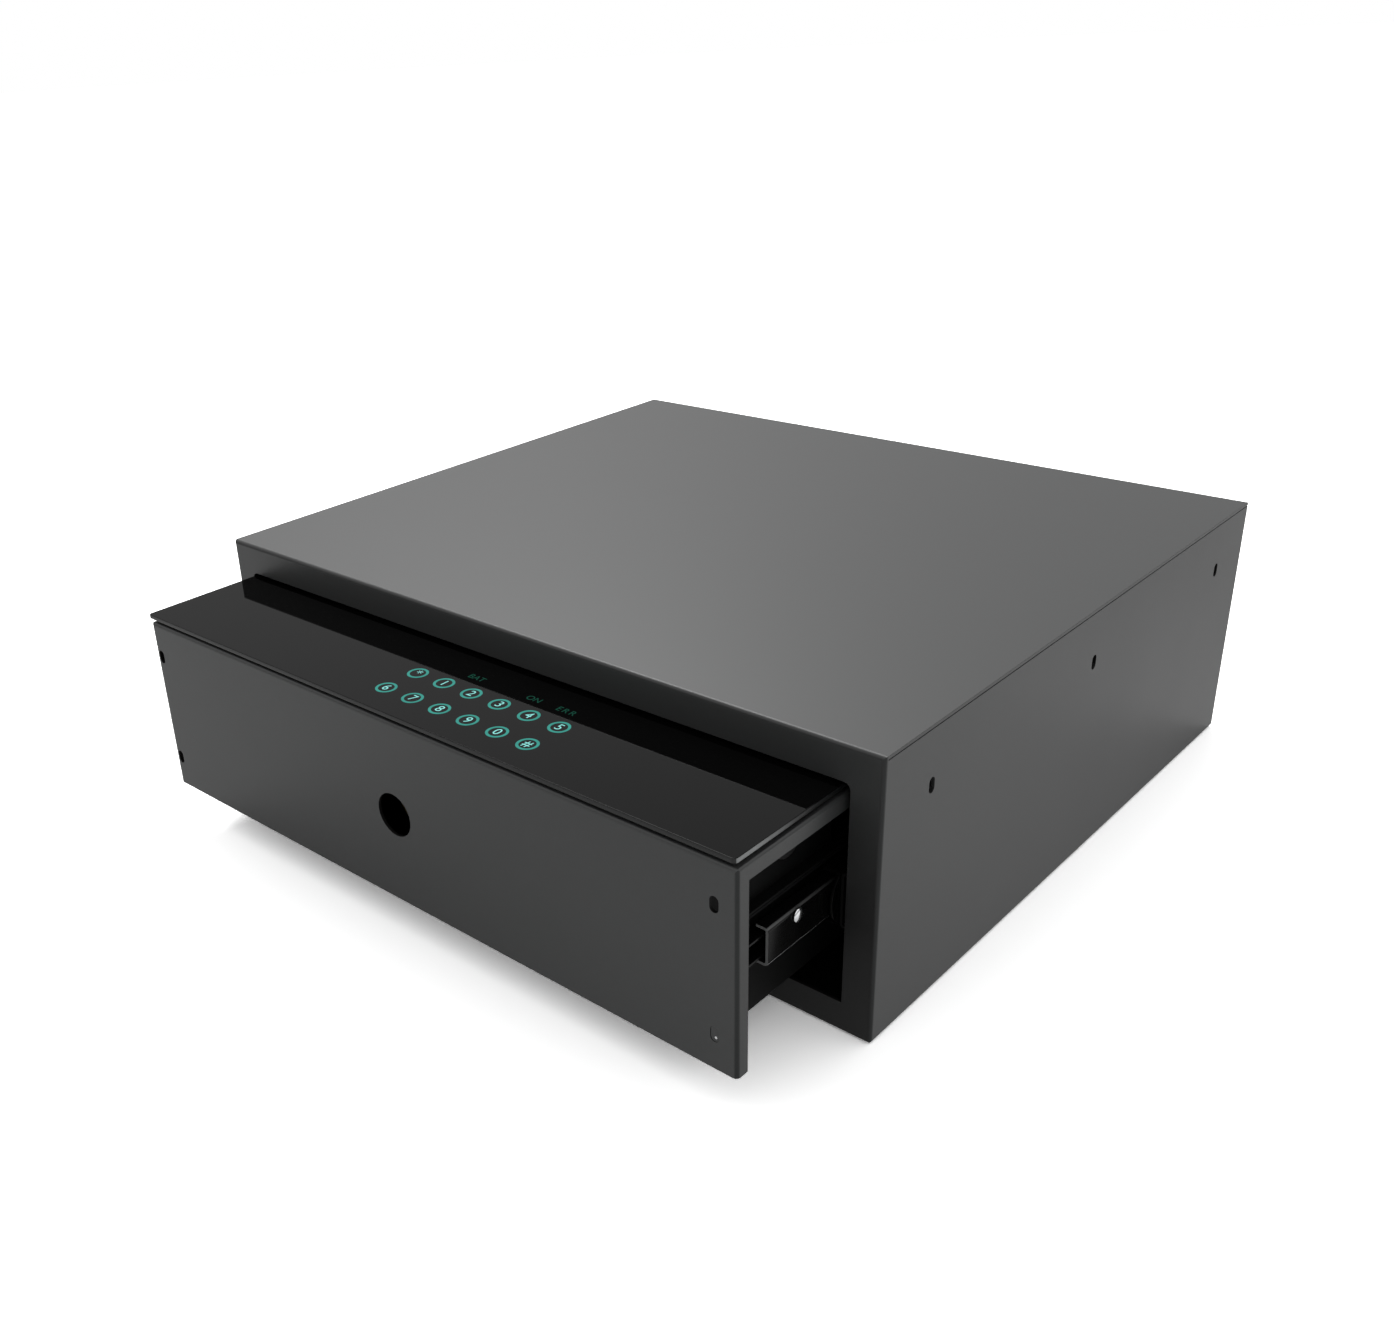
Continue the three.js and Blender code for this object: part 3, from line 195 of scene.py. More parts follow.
node(sweep_tree, "ShaderNodeOutputMaterial", {"Surface": paper_seen.outputs[0]})

sweep_shape = bmesh.new()
bmesh.ops.create_circle(sweep_shape, cap_ends=True, segments=64, radius=FLOOR_RADIUS,
                        matrix=Matrix.Translation((0, 0, -FLOOR_DROP)))
sweep_mesh = bpy.data.meshes.new("floor")
sweep_shape.to_mesh(sweep_mesh)
sweep_shape.free()
sweep_mesh.materials.append(sweep_finish)
sweep = bpy.data.objects.new("floor", sweep_mesh)
scene.collection.objects.link(sweep)
sweep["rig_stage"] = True

softbox = bpy.data.lights.new("softbox", "AREA")
softbox.shape = "SQUARE"
softbox.size = LAMP_SIZE
softbox.energy = LAMP_WATTS
lamp = bpy.data.objects.new("softbox", softbox)
scene.collection.objects.link(lamp)
lamp.location = LAMP_PLACE
lamp.rotation_euler = (LAMP_AIM - LAMP_PLACE).to_track_quat("-Z", "Y").to_euler()
lamp.visible_camera = False

# Housing
# A box folded from 1.5 mm steel sheet, with a frame left round the drawer's opening, closed by a
# back pan. Outside, its powder coat melted to a satin skin, whose slight peel breaks up the shine.
# The coat's grain is drawn at 0.5 mm, coarser than the powder, so that it shows.


def start_material(name):
    """A new material, its tree, its Principled shader and its Object coordinates."""
    made = bpy.data.materials.new(name)
    made.use_nodes = True
    tree = made.node_tree
    place = node(tree, "ShaderNodeTexCoord").outputs["Object"]
    return made, tree, tree.nodes["Principled BSDF"], place


def across(millimetres):
    """The scale at which a texture's features are about that many millimetres across."""
    return 1000 / millimetres


powder_coat, tree, shader, place = start_material("semi-matt black powder coat")
peel = node(tree, "ShaderNodeTexNoise", {"Vector": place, "Scale": across(1.3), "Detail": 2.0})
flow = node(tree, "ShaderNodeTexNoise", {"Vector": place, "Scale": across(45), "Detail": 1.0})
grain = node(tree, "ShaderNodeTexNoise", {"Vector": place, "Scale": across(0.5), "Detail": 0.0})
coat_tone = node(tree, "ShaderNodeMix",
                 {0: grain.outputs[0], 6: linear("#242525"), 7: linear("#282929")}, data_type="RGBA")
coat_gloss = node(tree, "ShaderNodeMapRange", {"Value": flow.outputs[0], "From Min": 0.3,
                                               "From Max": 0.7, "To Min": 0.415, "To Max": 0.425})
peel_bump = node(tree, "ShaderNodeBump",
                 {"Height": peel.outputs[0], "Strength": 0.35, "Distance": 0.00003})
# Painted shade dims the front's upright bends, where the coat's reflection is turned down. The product
# of two parts of the surface's direction finds them: it is 0 on flat faces and 0.5 or -0.5 midway round a
# bend.
facing = node(tree, "ShaderNodeSeparateXYZ",
              {"Vector": node(tree, "ShaderNodeTexCoord").outputs["Normal"]}).outputs
sideways = node(tree, "ShaderNodeMath", {0: facing["X"]}, operation="ABSOLUTE").outputs[0]
front_bend = node(tree, "ShaderNodeMath", {0: sideways, 1: facing["Y"]}, operation="MULTIPLY").outputs[0]
bend_shade_level = node(tree, "ShaderNodeMapRange", {"Value": front_bend, "From Min": -0.15,
                                               "From Max": -0.4, "To Min": 0.5,
                                               "To Max": 0.12}).outputs[0]
fill(tree, shader, {"Base Color": coat_tone.outputs[2], "Roughness": coat_gloss.outputs[0],
                    "IOR": 1.45, "Specular IOR Level": bend_shade_level, "Normal": peel_bump.outputs[0]})

# Inside, where little powder reaches, the coat is thin and matt, and darker as painted shade for the dim
# inside.
inner_coat_and_shade, tree, shader, place = start_material("thin matt black powder coat, darkened as painted shade")
dust = node(tree, "ShaderNodeTexNoise", {"Vector": place, "Scale": across(0.7), "Detail": 2.0})
patch = node(tree, "ShaderNodeTexNoise", {"Vector": place, "Scale": across(30), "Detail": 2.0})
inner_tone = node(tree, "ShaderNodeMix",
                  {0: patch.outputs[0], 6: linear("#090909"), 7: linear("#0e0e0e")}, data_type="RGBA")
dust_bump = node(tree, "ShaderNodeBump",
                 {"Height": dust.outputs[0], "Strength": 0.4, "Distance": 0.00003})
fill(tree, shader, {"Base Color": inner_tone.outputs[2], "Roughness": 0.6, "IOR": 1.17,
                    "Normal": dust_bump.outputs[0]})

# Points nearer than WELD, in metres, are one. Faces that meet at less than FLAT_ANGLE are joined,
# and edges sharper than CREASE_ANGLE are rolled.
WELD = 1e-6
FLAT_ANGLE = math.radians(0.4)
CREASE_ANGLE = math.radians(40)


def shown(name, mesh, body, edge=0.0):
    """Makes a mesh a piece that rides on a body, with its sharp edges rolled to a radius in mm."""
    mesh.shade_smooth()
    piece = bpy.data.objects.new(name, mesh)
    scene.collection.objects.link(piece)
    if edge:
        rolled = piece.modifiers.new("rolled edges", "BEVEL")
        rolled.width = edge / 1000
        rolled.segments = 2
        rolled.limit_method = "ANGLE"
        rolled.angle_limit = CREASE_ANGLE
    flats = piece.modifiers.new("flat faces", "WEIGHTED_NORMAL")
    flats.weight = 100
    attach(piece, body)
    return piece


def dressed(cad_name, *finishes, edge=0.25):
    """A merged copy of a CAD node with rolled edges and a finish, which stands for the node."""
    cad = frame["nodes"][cad_name]
    solid = bmesh.new()
    solid.from_mesh(cad.data)
    bmesh.ops.remove_doubles(solid, verts=solid.verts, dist=WELD)
    bmesh.ops.dissolve_limit(solid, angle_limit=FLAT_ANGLE, verts=solid.verts, edges=solid.edges)
    mesh = bpy.data.meshes.new(cad_name + "_finished")
    solid.to_mesh(mesh)
    solid.free()
    for stale in [a for a in mesh.attributes if a.name in ("custom_normal", "sharp_face", "sharp_edge")]:
        mesh.attributes.remove(stale)
    for finish in finishes:
        mesh.materials.append(finish)
    piece = shown(cad_name + "_finished", mesh, cad["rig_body"], edge)
    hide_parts(cad_name)
    return piece


def line_inside(piece):
    """Gives a piece's second finish to the faces that look in, towards the middle of the piece."""
    corners = [Vector(corner) for corner in piece.bound_box]
    middle = sum(corners, Vector()) / len(corners)
    for face in piece.data.polygons:
        if face.normal.dot(middle - face.center) > 0:
            face.material_index = 1


# On the housing, painted shade also dims the highlight on the front's top bend, and the frame low down,
# where the drawer front shades it; on the frame it deepens between two heights in mm.
FRAME_SHADE = (112, 55)
shaded_housing_coat = powder_coat.copy()
shaded_housing_coat.name = "semi-matt black powder coat, thin on the top bend and low on the frame"
tree = shaded_housing_coat.node_tree
coords = node(tree, "ShaderNodeTexCoord").outputs
facing = node(tree, "ShaderNodeSeparateXYZ", {"Vector": coords["Normal"]}).outputs
upward = node(tree, "ShaderNodeSeparateXYZ", {"Vector": coords["Object"]}).outputs["Z"]
on_front = node(tree, "ShaderNodeMapRange",
                {"Value": facing["Y"], "From Min": -0.7, "From Max": -0.95}).outputs[0]
low_down = node(tree, "ShaderNodeMapRange",
                {"Value": upward, "From Min": FRAME_SHADE[0] / 1000,
                 "From Max": FRAME_SHADE[1] / 1000}).outputs[0]
shade_low_on_frame = node(tree, "ShaderNodeMath", {0: on_front, 1: low_down}, operation="MULTIPLY").outputs[0]
top_bend = node(tree, "ShaderNodeMath", {0: facing["Z"], 1: facing["Y"]}, operation="MULTIPLY").outputs[0]
shade_on_top_bend = node(tree, "ShaderNodeMapRange",
                  {"Value": top_bend, "From Min": -0.03, "From Max": -0.2, "To Max": 0.55}).outputs[0]
# thin measures the painted shade: where it is 1, the coat is darkest and reflects least.
thin = node(tree, "ShaderNodeMath", {0: shade_low_on_frame, 1: shade_on_top_bend}, operation="MAXIMUM").outputs[0]
shader = tree.nodes["Principled BSDF"]
unshaded_tone = shader.inputs["Base Color"].links[0].from_socket
level_with_bend_shade = shader.inputs["Specular IOR Level"].links[0].from_socket
shaded_tone = node(tree, "ShaderNodeMix", {0: thin, 6: unshaded_tone, 7: linear("#121212")}, data_type="RGBA")
shaded_level = node(tree, "ShaderNodeMapRange", {"Value": thin, "To Min": level_with_bend_shade, "To Max": 0.22})
fill(tree, shader, {"Base Color": shaded_tone.outputs[2], "Specular IOR Level": shaded_level.outputs[0]})
line_inside(dressed("housing_shell", shaded_housing_coat, inner_coat_and_shade, edge=0.3))
dressed("housing_back", powder_coat, edge=0.3)

# Rear bumpers
# Two moulded rubber cones pressed into the back pan, which stop the closing drawer. A bloom on the
# rubber leaves it dull and uneven.
rubber, tree, shader, place = start_material("moulded black rubber")
bloom = node(tree, "ShaderNodeTexNoise", {"Vector": place, "Scale": across(6), "Detail": 3.0})
rubber_tone = node(tree, "ShaderNodeMix",
                   {0: bloom.outputs[0], 6: linear("#121212"), 7: linear("#1e1e1d")}, data_type="RGBA")
skin = node(tree, "ShaderNodeTexNoise", {"Vector": place, "Scale": across(0.4), "Detail": 1.0})
rubber_bump = node(tree, "ShaderNodeBump",
                   {"Height": skin.outputs[0], "Strength": 0.4, "Distance": 0.00005})
fill(tree, shader, {"Base Color": rubber_tone.outputs[2], "Roughness": 0.72,
                    "Normal": rubber_bump.outputs[0]})
for side in ("left", "right"):
    dressed("rear_bumper_" + side, rubber, edge=0.8)

# Slide rails inside the housing
# Hat-section rails, bent from steel strip and spot welded to the housing's sides, which carry the
# slides. They have the thin matt coat of the housing's inside.
for side in ("left", "right"):
    dressed("slide_bracket_" + side, inner_coat_and_shade, edge=0.2)

# Telescopic slides
# Cabinet, middle and drawer members, each rolled from 1.2 mm steel strip and dipped in a thin
# black electrophoretic coat, in which the lines of the rollers still show along the strip.
rolled_steel, tree, shader, place = start_material("black dip coat on rolled steel")
lengthwise = node(tree, "ShaderNodeMapping", {"Vector": place, "Scale": (1.0, 0.01, 1.0)})
roll_lines = node(tree, "ShaderNodeTexNoise",
                  {"Vector": lengthwise.outputs[0], "Scale": across(0.5), "Detail": 3.0})
roll_gloss = node(tree, "ShaderNodeMapRange", {"Value": roll_lines.outputs[0], "From Min": 0.3,
                                               "From Max": 0.7, "To Min": 0.14, "To Max": 0.2})
roll_bump = node(tree, "ShaderNodeBump",
                 {"Height": roll_lines.outputs[0], "Strength": 0.15, "Distance": 0.00001})
fill(tree, shader, {"Base Color": linear("#070707"), "Roughness": roll_gloss.outputs[0], "IOR": 1.2,
                    "Normal": roll_bump.outputs[0]})

# Painted highlights: the middle members' front bends and cut ends are painted as pale lines,
# which fade out over a length in mm.
HIGHLIGHT_LENGTH = 48
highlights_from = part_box("middle_member_right")[0].y
highlighted_steel = rolled_steel.copy()
highlighted_steel.name = "black dip coat rubbed bright at the front bends and cut end"
tree = highlighted_steel.node_tree
facing = node(tree, "ShaderNodeSeparateXYZ",
              {"Vector": node(tree, "ShaderNodeTexCoord").outputs["Normal"]}).outputs
outward = node(tree, "ShaderNodeMath", {0: facing["X"]}, operation="ABSOLUTE").outputs[0]
slant = node(tree, "ShaderNodeMath", {0: outward, 1: facing["Z"]}, operation="MULTIPLY").outputs[0]
top_bend_highlight = node(tree, "ShaderNodeMapRange",
                {"Value": slant, "From Min": 0.38, "From Max": 0.48, "To Max": 0.16}).outputs[0]
low_bend_highlight = node(tree, "ShaderNodeMapRange",
                {"Value": slant, "From Min": -0.3, "From Max": -0.45}).outputs[0]
endways = node(tree, "ShaderNodeMath", {0: facing["Y"]}, operation="ABSOLUTE").outputs[0]
cut_end_highlight = node(tree, "ShaderNodeMath", {0: endways, 1: 0.26}, operation="MULTIPLY").outputs[0]
bend_highlights = node(tree, "ShaderNodeMath", {0: top_bend_highlight, 1: low_bend_highlight}, operation="MAXIMUM").outputs[0]
all_highlights = node(tree, "ShaderNodeMath", {0: bend_highlights, 1: cut_end_highlight}, operation="MAXIMUM").outputs[0]
along = node(tree, "ShaderNodeSeparateXYZ",
             {"Vector": node(tree, "ShaderNodeTexCoord").outputs["Object"]}).outputs["Y"]
near_front = node(tree, "ShaderNodeMapRange",
                  {"Value": along, "From Min": highlights_from,
                   "From Max": highlights_from + HIGHLIGHT_LENGTH / 1000, "To Min": 1.0, "To Max": 0.0})
steel_highlight = node(tree, "ShaderNodeMath", {0: all_highlights, 1: near_front.outputs[0]}, operation="MULTIPLY")
highlighted_tone = node(tree, "ShaderNodeMix",
                 {0: steel_highlight.outputs[0], 6: linear("#070707"), 7: linear("#c6c7c7")}, data_type="RGBA")
fill(tree, tree.nodes["Principled BSDF"], {"Base Color": highlighted_tone.outputs[2]})

for side in ("left", "right"):
    dressed("cabinet_member_" + side, rolled_steel, edge=0.2)
    dressed("middle_member_" + side, highlighted_steel, edge=0.2)
    dressed("drawer_member_" + side, rolled_steel, edge=0.2)

# Ball cages
# Bent strips of zinc plated steel, whose spangle gives each patch its own shine, with a row of
# hardened balls in each lip. The balls are ground and polished, so they are brighter than the strip.
zinc, tree, shader, place = start_material("bright zinc plated steel")
spangle = node(tree, "ShaderNodeTexVoronoi", {"Vector": place, "Scale": across(3.0)})
haze = node(tree, "ShaderNodeTexNoise", {"Vector": place, "Scale": across(0.6), "Detail": 2.0})
zinc_tone = node(tree, "ShaderNodeMix",
                 {0: haze.outputs[0], 6: linear("#a6a9ab"), 7: linear("#c3c6c8")}, data_type="RGBA")
zinc_gloss = node(tree, "ShaderNodeMapRange",
                  {"Value": spangle.outputs["Color"], "To Min": 0.28, "To Max": 0.42})
fill(tree, shader, {"Base Color": zinc_tone.outputs[2], "Metallic": 1.0,
                    "Roughness": zinc_gloss.outputs[0]})

polished_steel, tree, shader, place = start_material("polished nickel plated steel")
rub = node(tree, "ShaderNodeTexNoise", {"Vector": place, "Scale": across(1.5), "Detail": 4.0})
rub_gloss = node(tree, "ShaderNodeMapRange", {"Value": rub.outputs[0], "To Min": 0.10, "To Max": 0.24})
fill(tree, shader, {"Base Color": linear("#d2d3d4"), "Metallic": 1.0, "Roughness": rub_gloss.outputs[0]})

# Sizes in mm, from the middle of the safe.
SLIDE_HEIGHT = 56.2
BALL_PITCH = 16
BALL_ROWS = {
    "outer": {"across": 172.65, "rise": 10.025, "first": -71.9, "count": 4, "diameter": 2.44},
    "inner": {"across": 171.4, "rise": 6.375, "first": -124.6, "count": 5, "diameter": 2.24},
}


def joined(name, shape, body, slot, *finishes, edge=0.0):
    """Makes a finished bmesh a piece of the object."""
    mesh = bpy.data.meshes.new(name)
    shape.to_mesh(mesh)
    shape.free()
    for finish in finishes:
        mesh.materials.append(finish)
    return shown(name, mesh, body, edge)


for side, sign in (("left", -1), ("right", 1)):
    for row, sizes in BALL_ROWS.items():
        dressed(f"{row}_ball_cage_{side}", zinc, edge=0.1)
        balls = bmesh.new()
        for i in range(sizes["count"]):
            for above in (-1, 1):
                centre = Vector((sign * sizes["across"], sizes["first"] + i * BALL_PITCH,
                                 SLIDE_HEIGHT + above * sizes["rise"])) / 1000
                bmesh.ops.create_icosphere(balls, subdivisions=3, radius=sizes["diameter"] / 2000,
                                           matrix=Matrix.Translation(centre))
        joined(f"{row}_balls_{side}", balls, f"{row}_ball_cages", "bright_steel", polished_steel)

# Rivets and studs on the slides
# A bright domed rivet near the front of each middle member, and four zinc plated headed studs,
# welded to the tray's sides, that hold the drawer members.


def turned(profile, centre, along, steps=48):
    """A bmesh turned from a profile of (radius, height) in mm, which starts at a centre in mm and
    rises along a direction."""
    shape = bmesh.new()
    points = [shape.verts.new((radius / 1000, 0, height / 1000)) for radius, height in profile]
    edges = [shape.edges.new(pair) for pair in zip(points, points[1:])]
    bmesh.ops.spin(shape, geom=points + edges, cent=(0, 0, 0), axis=(0, 0, 1), angle=math.tau,
                   steps=steps, use_merge=True)
    bmesh.ops.remove_doubles(shape, verts=shape.verts, dist=WELD / 10)
    bmesh.ops.recalc_face_normals(shape, faces=shape.faces)
    turn = Vector((0, 0, 1)).rotation_difference(Vector(along)).to_matrix().to_4x4()
    bmesh.ops.transform(shape, matrix=Matrix.Translation(Vector(centre) / 1000) @ turn,
                        verts=shape.verts)
    return shape


def dome(radius, height, rim, steps=8):
    """The profile of a domed head: up its rim, then over the crown to the axis."""
    crown = [(radius * math.cos(math.pi / 2 * i / steps),
              rim + (height - rim) * math.sin(math.pi / 2 * i / steps)) for i in range(steps + 1)]
    return [(radius, 0), *crown[:-1], (0, height)]


def take_in(shape, other):
    """Adds a bmesh to another and frees it."""
    spare = bpy.data.meshes.new("spare")
    other.to_mesh(spare)
    other.free()
    shape.from_mesh(spare)
    bpy.data.meshes.remove(spare)


SHANK_RADIUS = 2.0
SHANK_LENGTH = 1.5
for side, sign in (("left", -1), ("right", 1)):
    low, high = (corner * 1000 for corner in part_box("middle_rivet_" + side))
    middle = (low + high) / 2
    seat = (min if sign > 0 else max)(low.x, high.x) + sign * SHANK_LENGTH
    head_radius = (high.y - low.y) / 2
    head_height = high.x - low.x - SHANK_LENGTH
    centre = (seat, middle.y, middle.z)
    whole = turned([(0, 0), *dome(head_radius, head_height, rim=0.25)], centre, (sign, 0, 0))
    shank = [(0, 0), (SHANK_RADIUS, 0), (SHANK_RADIUS, SHANK_LENGTH), (0, SHANK_LENGTH)]
    take_in(whole, turned(shank, centre, (-sign, 0, 0)))
    rivet = joined("middle_rivet_" + side + "_turned", whole, "middle_members", "bright_steel",
                   polished_steel)
    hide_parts("middle_rivet_" + side)
    for end in ("front", "rear"):
        dressed(f"slide_stud_{side}_{end}", zinc, edge=0.25)

# Strike angles
# Two zinc plated steel angles, bent from strip and spot welded to the housing's sides. The bolts
# lock behind them.
for side in ("left", "right"):
    dressed("strike_bracket_" + side, zinc, edge=0.3)

# Drawer front and top cover
# One folded steel sheet with return flanges, powder coated like the housing, with a round hole
# for the override key and four slots for its fixing screws, one of which still shows its screw.
# The slots' walls get the dark inner coat, as painted shade inside the slots. They are the faces in a
# band in from either side, in mm, that hardly look forward.
SLOT_BAND = (2.5, 13)
HARDLY_FORWARD = 0.1
cover = dressed("drawer_front_cover", powder_coat, inner_coat_and_shade, edge=0.3)
line_inside(cover)
cover_low, cover_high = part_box("drawer_front_cover")
for face in cover.data.polygons:
    from_side = min(face.center.x - cover_low.x, cover_high.x - face.center.x) * 1000
    if abs(face.normal.y) < HARDLY_FORWARD and SLOT_BAND[0] < from_side < SLOT_BAND[1]:
        face.material_index = 1

# The screw's coated boss fills its slot, and the bare point of the screw glints on it. Sizes in mm.
BOSS_WIDTH = 3.9
BOSS_LENGTH = 6.9
BOSS_INSET = 0.2
BOSS_THICKNESS = 1.0
POINT_RADIUS = 0.6
POINT_HEIGHT = 0.3
POINT_PLACE = (0.6, -1.4)
dressed("fascia_screw", powder_coat, edge=0.2)
screw_low, screw_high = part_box("fascia_screw")
boss_seat = (screw_low + screw_high) / 2
boss_seat.y = cover_low.y + BOSS_INSET / 1000
boss = bmesh.new()
bmesh.ops.create_circle(boss, cap_ends=True, segments=32, radius=BOSS_WIDTH / 2000,
                        matrix=Matrix.Rotation(math.pi / 2, 4, "X"))
for vertex in boss.verts:
    vertex.co.z += math.copysign((BOSS_LENGTH - BOSS_WIDTH) / 2000, vertex.co.z)
pushed = bmesh.ops.extrude_face_region(boss, geom=list(boss.faces))
bmesh.ops.translate(boss, vec=(0, BOSS_THICKNESS / 1000, 0),
                    verts=[v for v in pushed["geom"] if isinstance(v, bmesh.types.BMVert)])
bmesh.ops.translate(boss, vec=boss_seat, verts=boss.verts)
bmesh.ops.recalc_face_normals(boss, faces=boss.faces)
joined("fascia_screw_boss", boss, "drawer", "blackened_steel", powder_coat)
point_seat = boss_seat * 1000 + Vector((POINT_PLACE[0], 0, POINT_PLACE[1]))
point = turned([(0, 0), *dome(POINT_RADIUS, POINT_HEIGHT, rim=0.1)], point_seat, (0, -1, 0),
               steps=24)
joined("fascia_screw_point", point, "drawer", "bright_steel", polished_steel)

# Touch panel
# Float glass over the whole top cover, printed black on its underside and treated against glare,
# so it mirrors dimly but sharply. Its edges are ground, which leaves them grey; the right one is painted
# with a highlight.
black_glass, tree, shader, place = start_material("black printed float glass")
fingers = node(tree, "ShaderNodeTexNoise", {"Vector": place, "Scale": across(25), "Detail": 4.0})
glass_gloss = node(tree, "ShaderNodeMapRange", {"Value": fingers.outputs[0], "From Min": 0.4,
                                                "From Max": 0.8, "To Min": 0.02, "To Max": 0.05})
fill(tree, shader, {"Base Color": linear("#030303"), "Roughness": glass_gloss.outputs[0], "IOR": 1.13})

# The grain of the ground edge is drawn at 0.3 mm, coarser than it is, so that it shows.
ground_edge, tree, shader, place = start_material("ground glass edge")
frost = node(tree, "ShaderNodeTexNoise", {"Vector": place, "Scale": across(0.3), "Detail": 1.0})
frost_tone = node(tree, "ShaderNodeMix",
                  {0: frost.outputs[0], 6: linear("#0c0d0d"), 7: linear("#151616")}, data_type="RGBA")
fill(tree, shader, {"Base Color": frost_tone.outputs[2], "Roughness": 0.3, "IOR": 1.35})


# The painted highlights on the edges fade out between two distances in mm behind the panel's front.
HIGHLIGHT_FADE = (12, 36)


def painted_highlight_edge(name, code):
    """A painted highlight for an edge: a pale tone that fades from the panel's front corner towards the
    housing.
    """
    made, tree, shader, place = start_material(name)
    sparkle = node(tree, "ShaderNodeTexNoise", {"Vector": place, "Scale": across(0.3), "Detail": 1.0})
    pale = node(tree, "ShaderNodeMix",
                {0: sparkle.outputs[0], 6: linear(code), 7: linear("#6a6c6c")}, data_type="RGBA")
    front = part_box("touch_glass")[0].y
    along = node(tree, "ShaderNodeSeparateXYZ", {"Vector": place}).outputs["Y"]
    fade = node(tree, "ShaderNodeMapRange",
                {"Value": along, "From Min": front + HIGHLIGHT_FADE[0] / 1000,
                 "From Max": front + HIGHLIGHT_FADE[1] / 1000})
    tone = node(tree, "ShaderNodeMix",
                {0: fade.outputs[0], 6: pale.outputs[2], 7: linear("#0c0d0d")}, data_type="RGBA")
    fill(tree, shader, {"Base Color": tone.outputs[2], "Roughness": 0.3, "IOR": 1.35})
    return made


highlighted_glass_edge = painted_highlight_edge("ground glass edge with a painted highlight", "#646666")


def slab(low, high, corner, steps=6):
    """A block between two corners in metres, with upright edges rounded to a radius in mm."""
    shape = bmesh.new()
    size = high - low
    bmesh.ops.create_cube(shape, size=1.0)
    bmesh.ops.scale(shape, vec=size, verts=shape.verts)
    bmesh.ops.translate(shape, vec=(low + high) / 2, verts=shape.verts)
    upright = [e for e in shape.edges if abs(e.verts[0].co.z - e.verts[1].co.z) > size.z / 2]
    bmesh.ops.bevel(shape, geom=upright, offset=corner / 1000, offset_type="OFFSET", affect="EDGES",
                    segments=steps, profile=0.5, material=-1)
    return shape


# A face whose direction has at least so much to the right, or so little up or down, is an edge.
RIGHTWARD = 0.8
HARDLY_UP = 0.5
GLASS_CORNER = 2.0
pane = slab(*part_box("touch_glass"), GLASS_CORNER)
# Faces to the right get the painted highlight, the other upright faces the ground edge.
for face in pane.faces:
    if face.normal.x > RIGHTWARD:
        face.material_index = 2
    elif abs(face.normal.z) < HARDLY_UP:
        face.material_index = 1
glass = joined("touch_glass_pane", pane, "drawer", "black_glass", black_glass, ground_edge, highlighted_glass_edge,
               edge=0.4)
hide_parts("touch_glass")
glass_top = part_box("touch_glass")[1].z

# Lit key marks
# Twelve touch keys in two rows, each a ring with its character, and three dim indicator words,
# all lit from the board below through clear places in the glass's black print. Sizes in mm.
KEY_PLACES = [-20.5, -3.2, 14.1, 31.4, 48.9, 66.3]
KEY_ROWS = (("*12345", -204.9), ("67890#", -223.4))
RING_RADIUS = 4.95
RING_WIDTH = 1.25
PRINT_THICKNESS = 0.03
PRINT_CLEARANCE = 0.01
GLYPH_SIZE = 6.8
WORDS = (("BAT", 4.6, 1.0), ("ON", 39.8, 1.0), ("ERR", 58.6, 1.3))
WORD_Y = -192.5
WORD_SIZE = 5.2


def lit(name, code):
    """A print that is lit from behind, a little unevenly: a colour that shines by itself."""
    made, tree, shader, place = start_material(name)
    spread = node(tree, "ShaderNodeTexNoise", {"Vector": place, "Scale": across(2.0), "Detail": 0.0})
    level = node(tree, "ShaderNodeMapRange",
                 {"Value": spread.outputs[0], "To Min": 0.85, "To Max": 1.15})
    fill(tree, shader, {"Base Color": linear("#040606"), "Roughness": 0.03, "IOR": 1.13,
                        "Emission Color": linear(code), "Emission Strength": level.outputs[0]})
    return made


def lettering(shape, text, size, x, y, finish_index, spacing=1.0):
    """Adds flat characters on the glass to a bmesh, centred on a point in mm."""
    curve = bpy.data.curves.new("lettering", "FONT")
    curve.body = text
    curve.size = size / 1000
    curve.space_character = spacing
    curve.align_x = "CENTER"
    curve.align_y = "CENTER"
    curve.extrude = PRINT_THICKNESS / 2000
    writer = bpy.data.objects.new("lettering", curve)
    letters = bpy.data.meshes.new_from_object(writer)
    bpy.data.objects.remove(writer)
    lift = glass_top + (PRINT_CLEARANCE + PRINT_THICKNESS / 2) / 1000
    letters.transform(Matrix.Translation((x / 1000, y / 1000, lift)))
    known = len(shape.faces)
    shape.from_mesh(letters)
    shape.faces.ensure_lookup_table()
    for face in shape.faces[known:]:
        face.material_index = finish_index
    bpy.data.meshes.remove(letters)


key_light = lit("teal key light", "#2f9488")
glyph_light = lit("pale teal key light", "#8fe6df")
word_light = lit("dim teal indicator light", "#154638")

inner_radius = RING_RADIUS - RING_WIDTH
ring_profile = [(inner_radius, 0), (RING_RADIUS, 0), (RING_RADIUS, PRINT_THICKNESS),
                (inner_radius, PRINT_THICKNESS), (inner_radius, 0)]
marks = bmesh.new()
for characters, row_y in KEY_ROWS:
    for character, key_x in zip(characters, KEY_PLACES):
        ring_seat = (key_x, row_y, glass_top * 1000 + PRINT_CLEARANCE)
        take_in(marks, turned(ring_profile, ring_seat, (0, 0, 1)))
        lettering(marks, character, GLYPH_SIZE, key_x, row_y, 1)
joined("key_marks", marks, "drawer", "black_glass", key_light, glyph_light)

words = bmesh.new()
for word, word_x, spacing in WORDS:
    lettering(words, word, WORD_SIZE, word_x, WORD_Y, 0, spacing)
joined("indicator_words", words, "drawer", "black_glass", word_light)

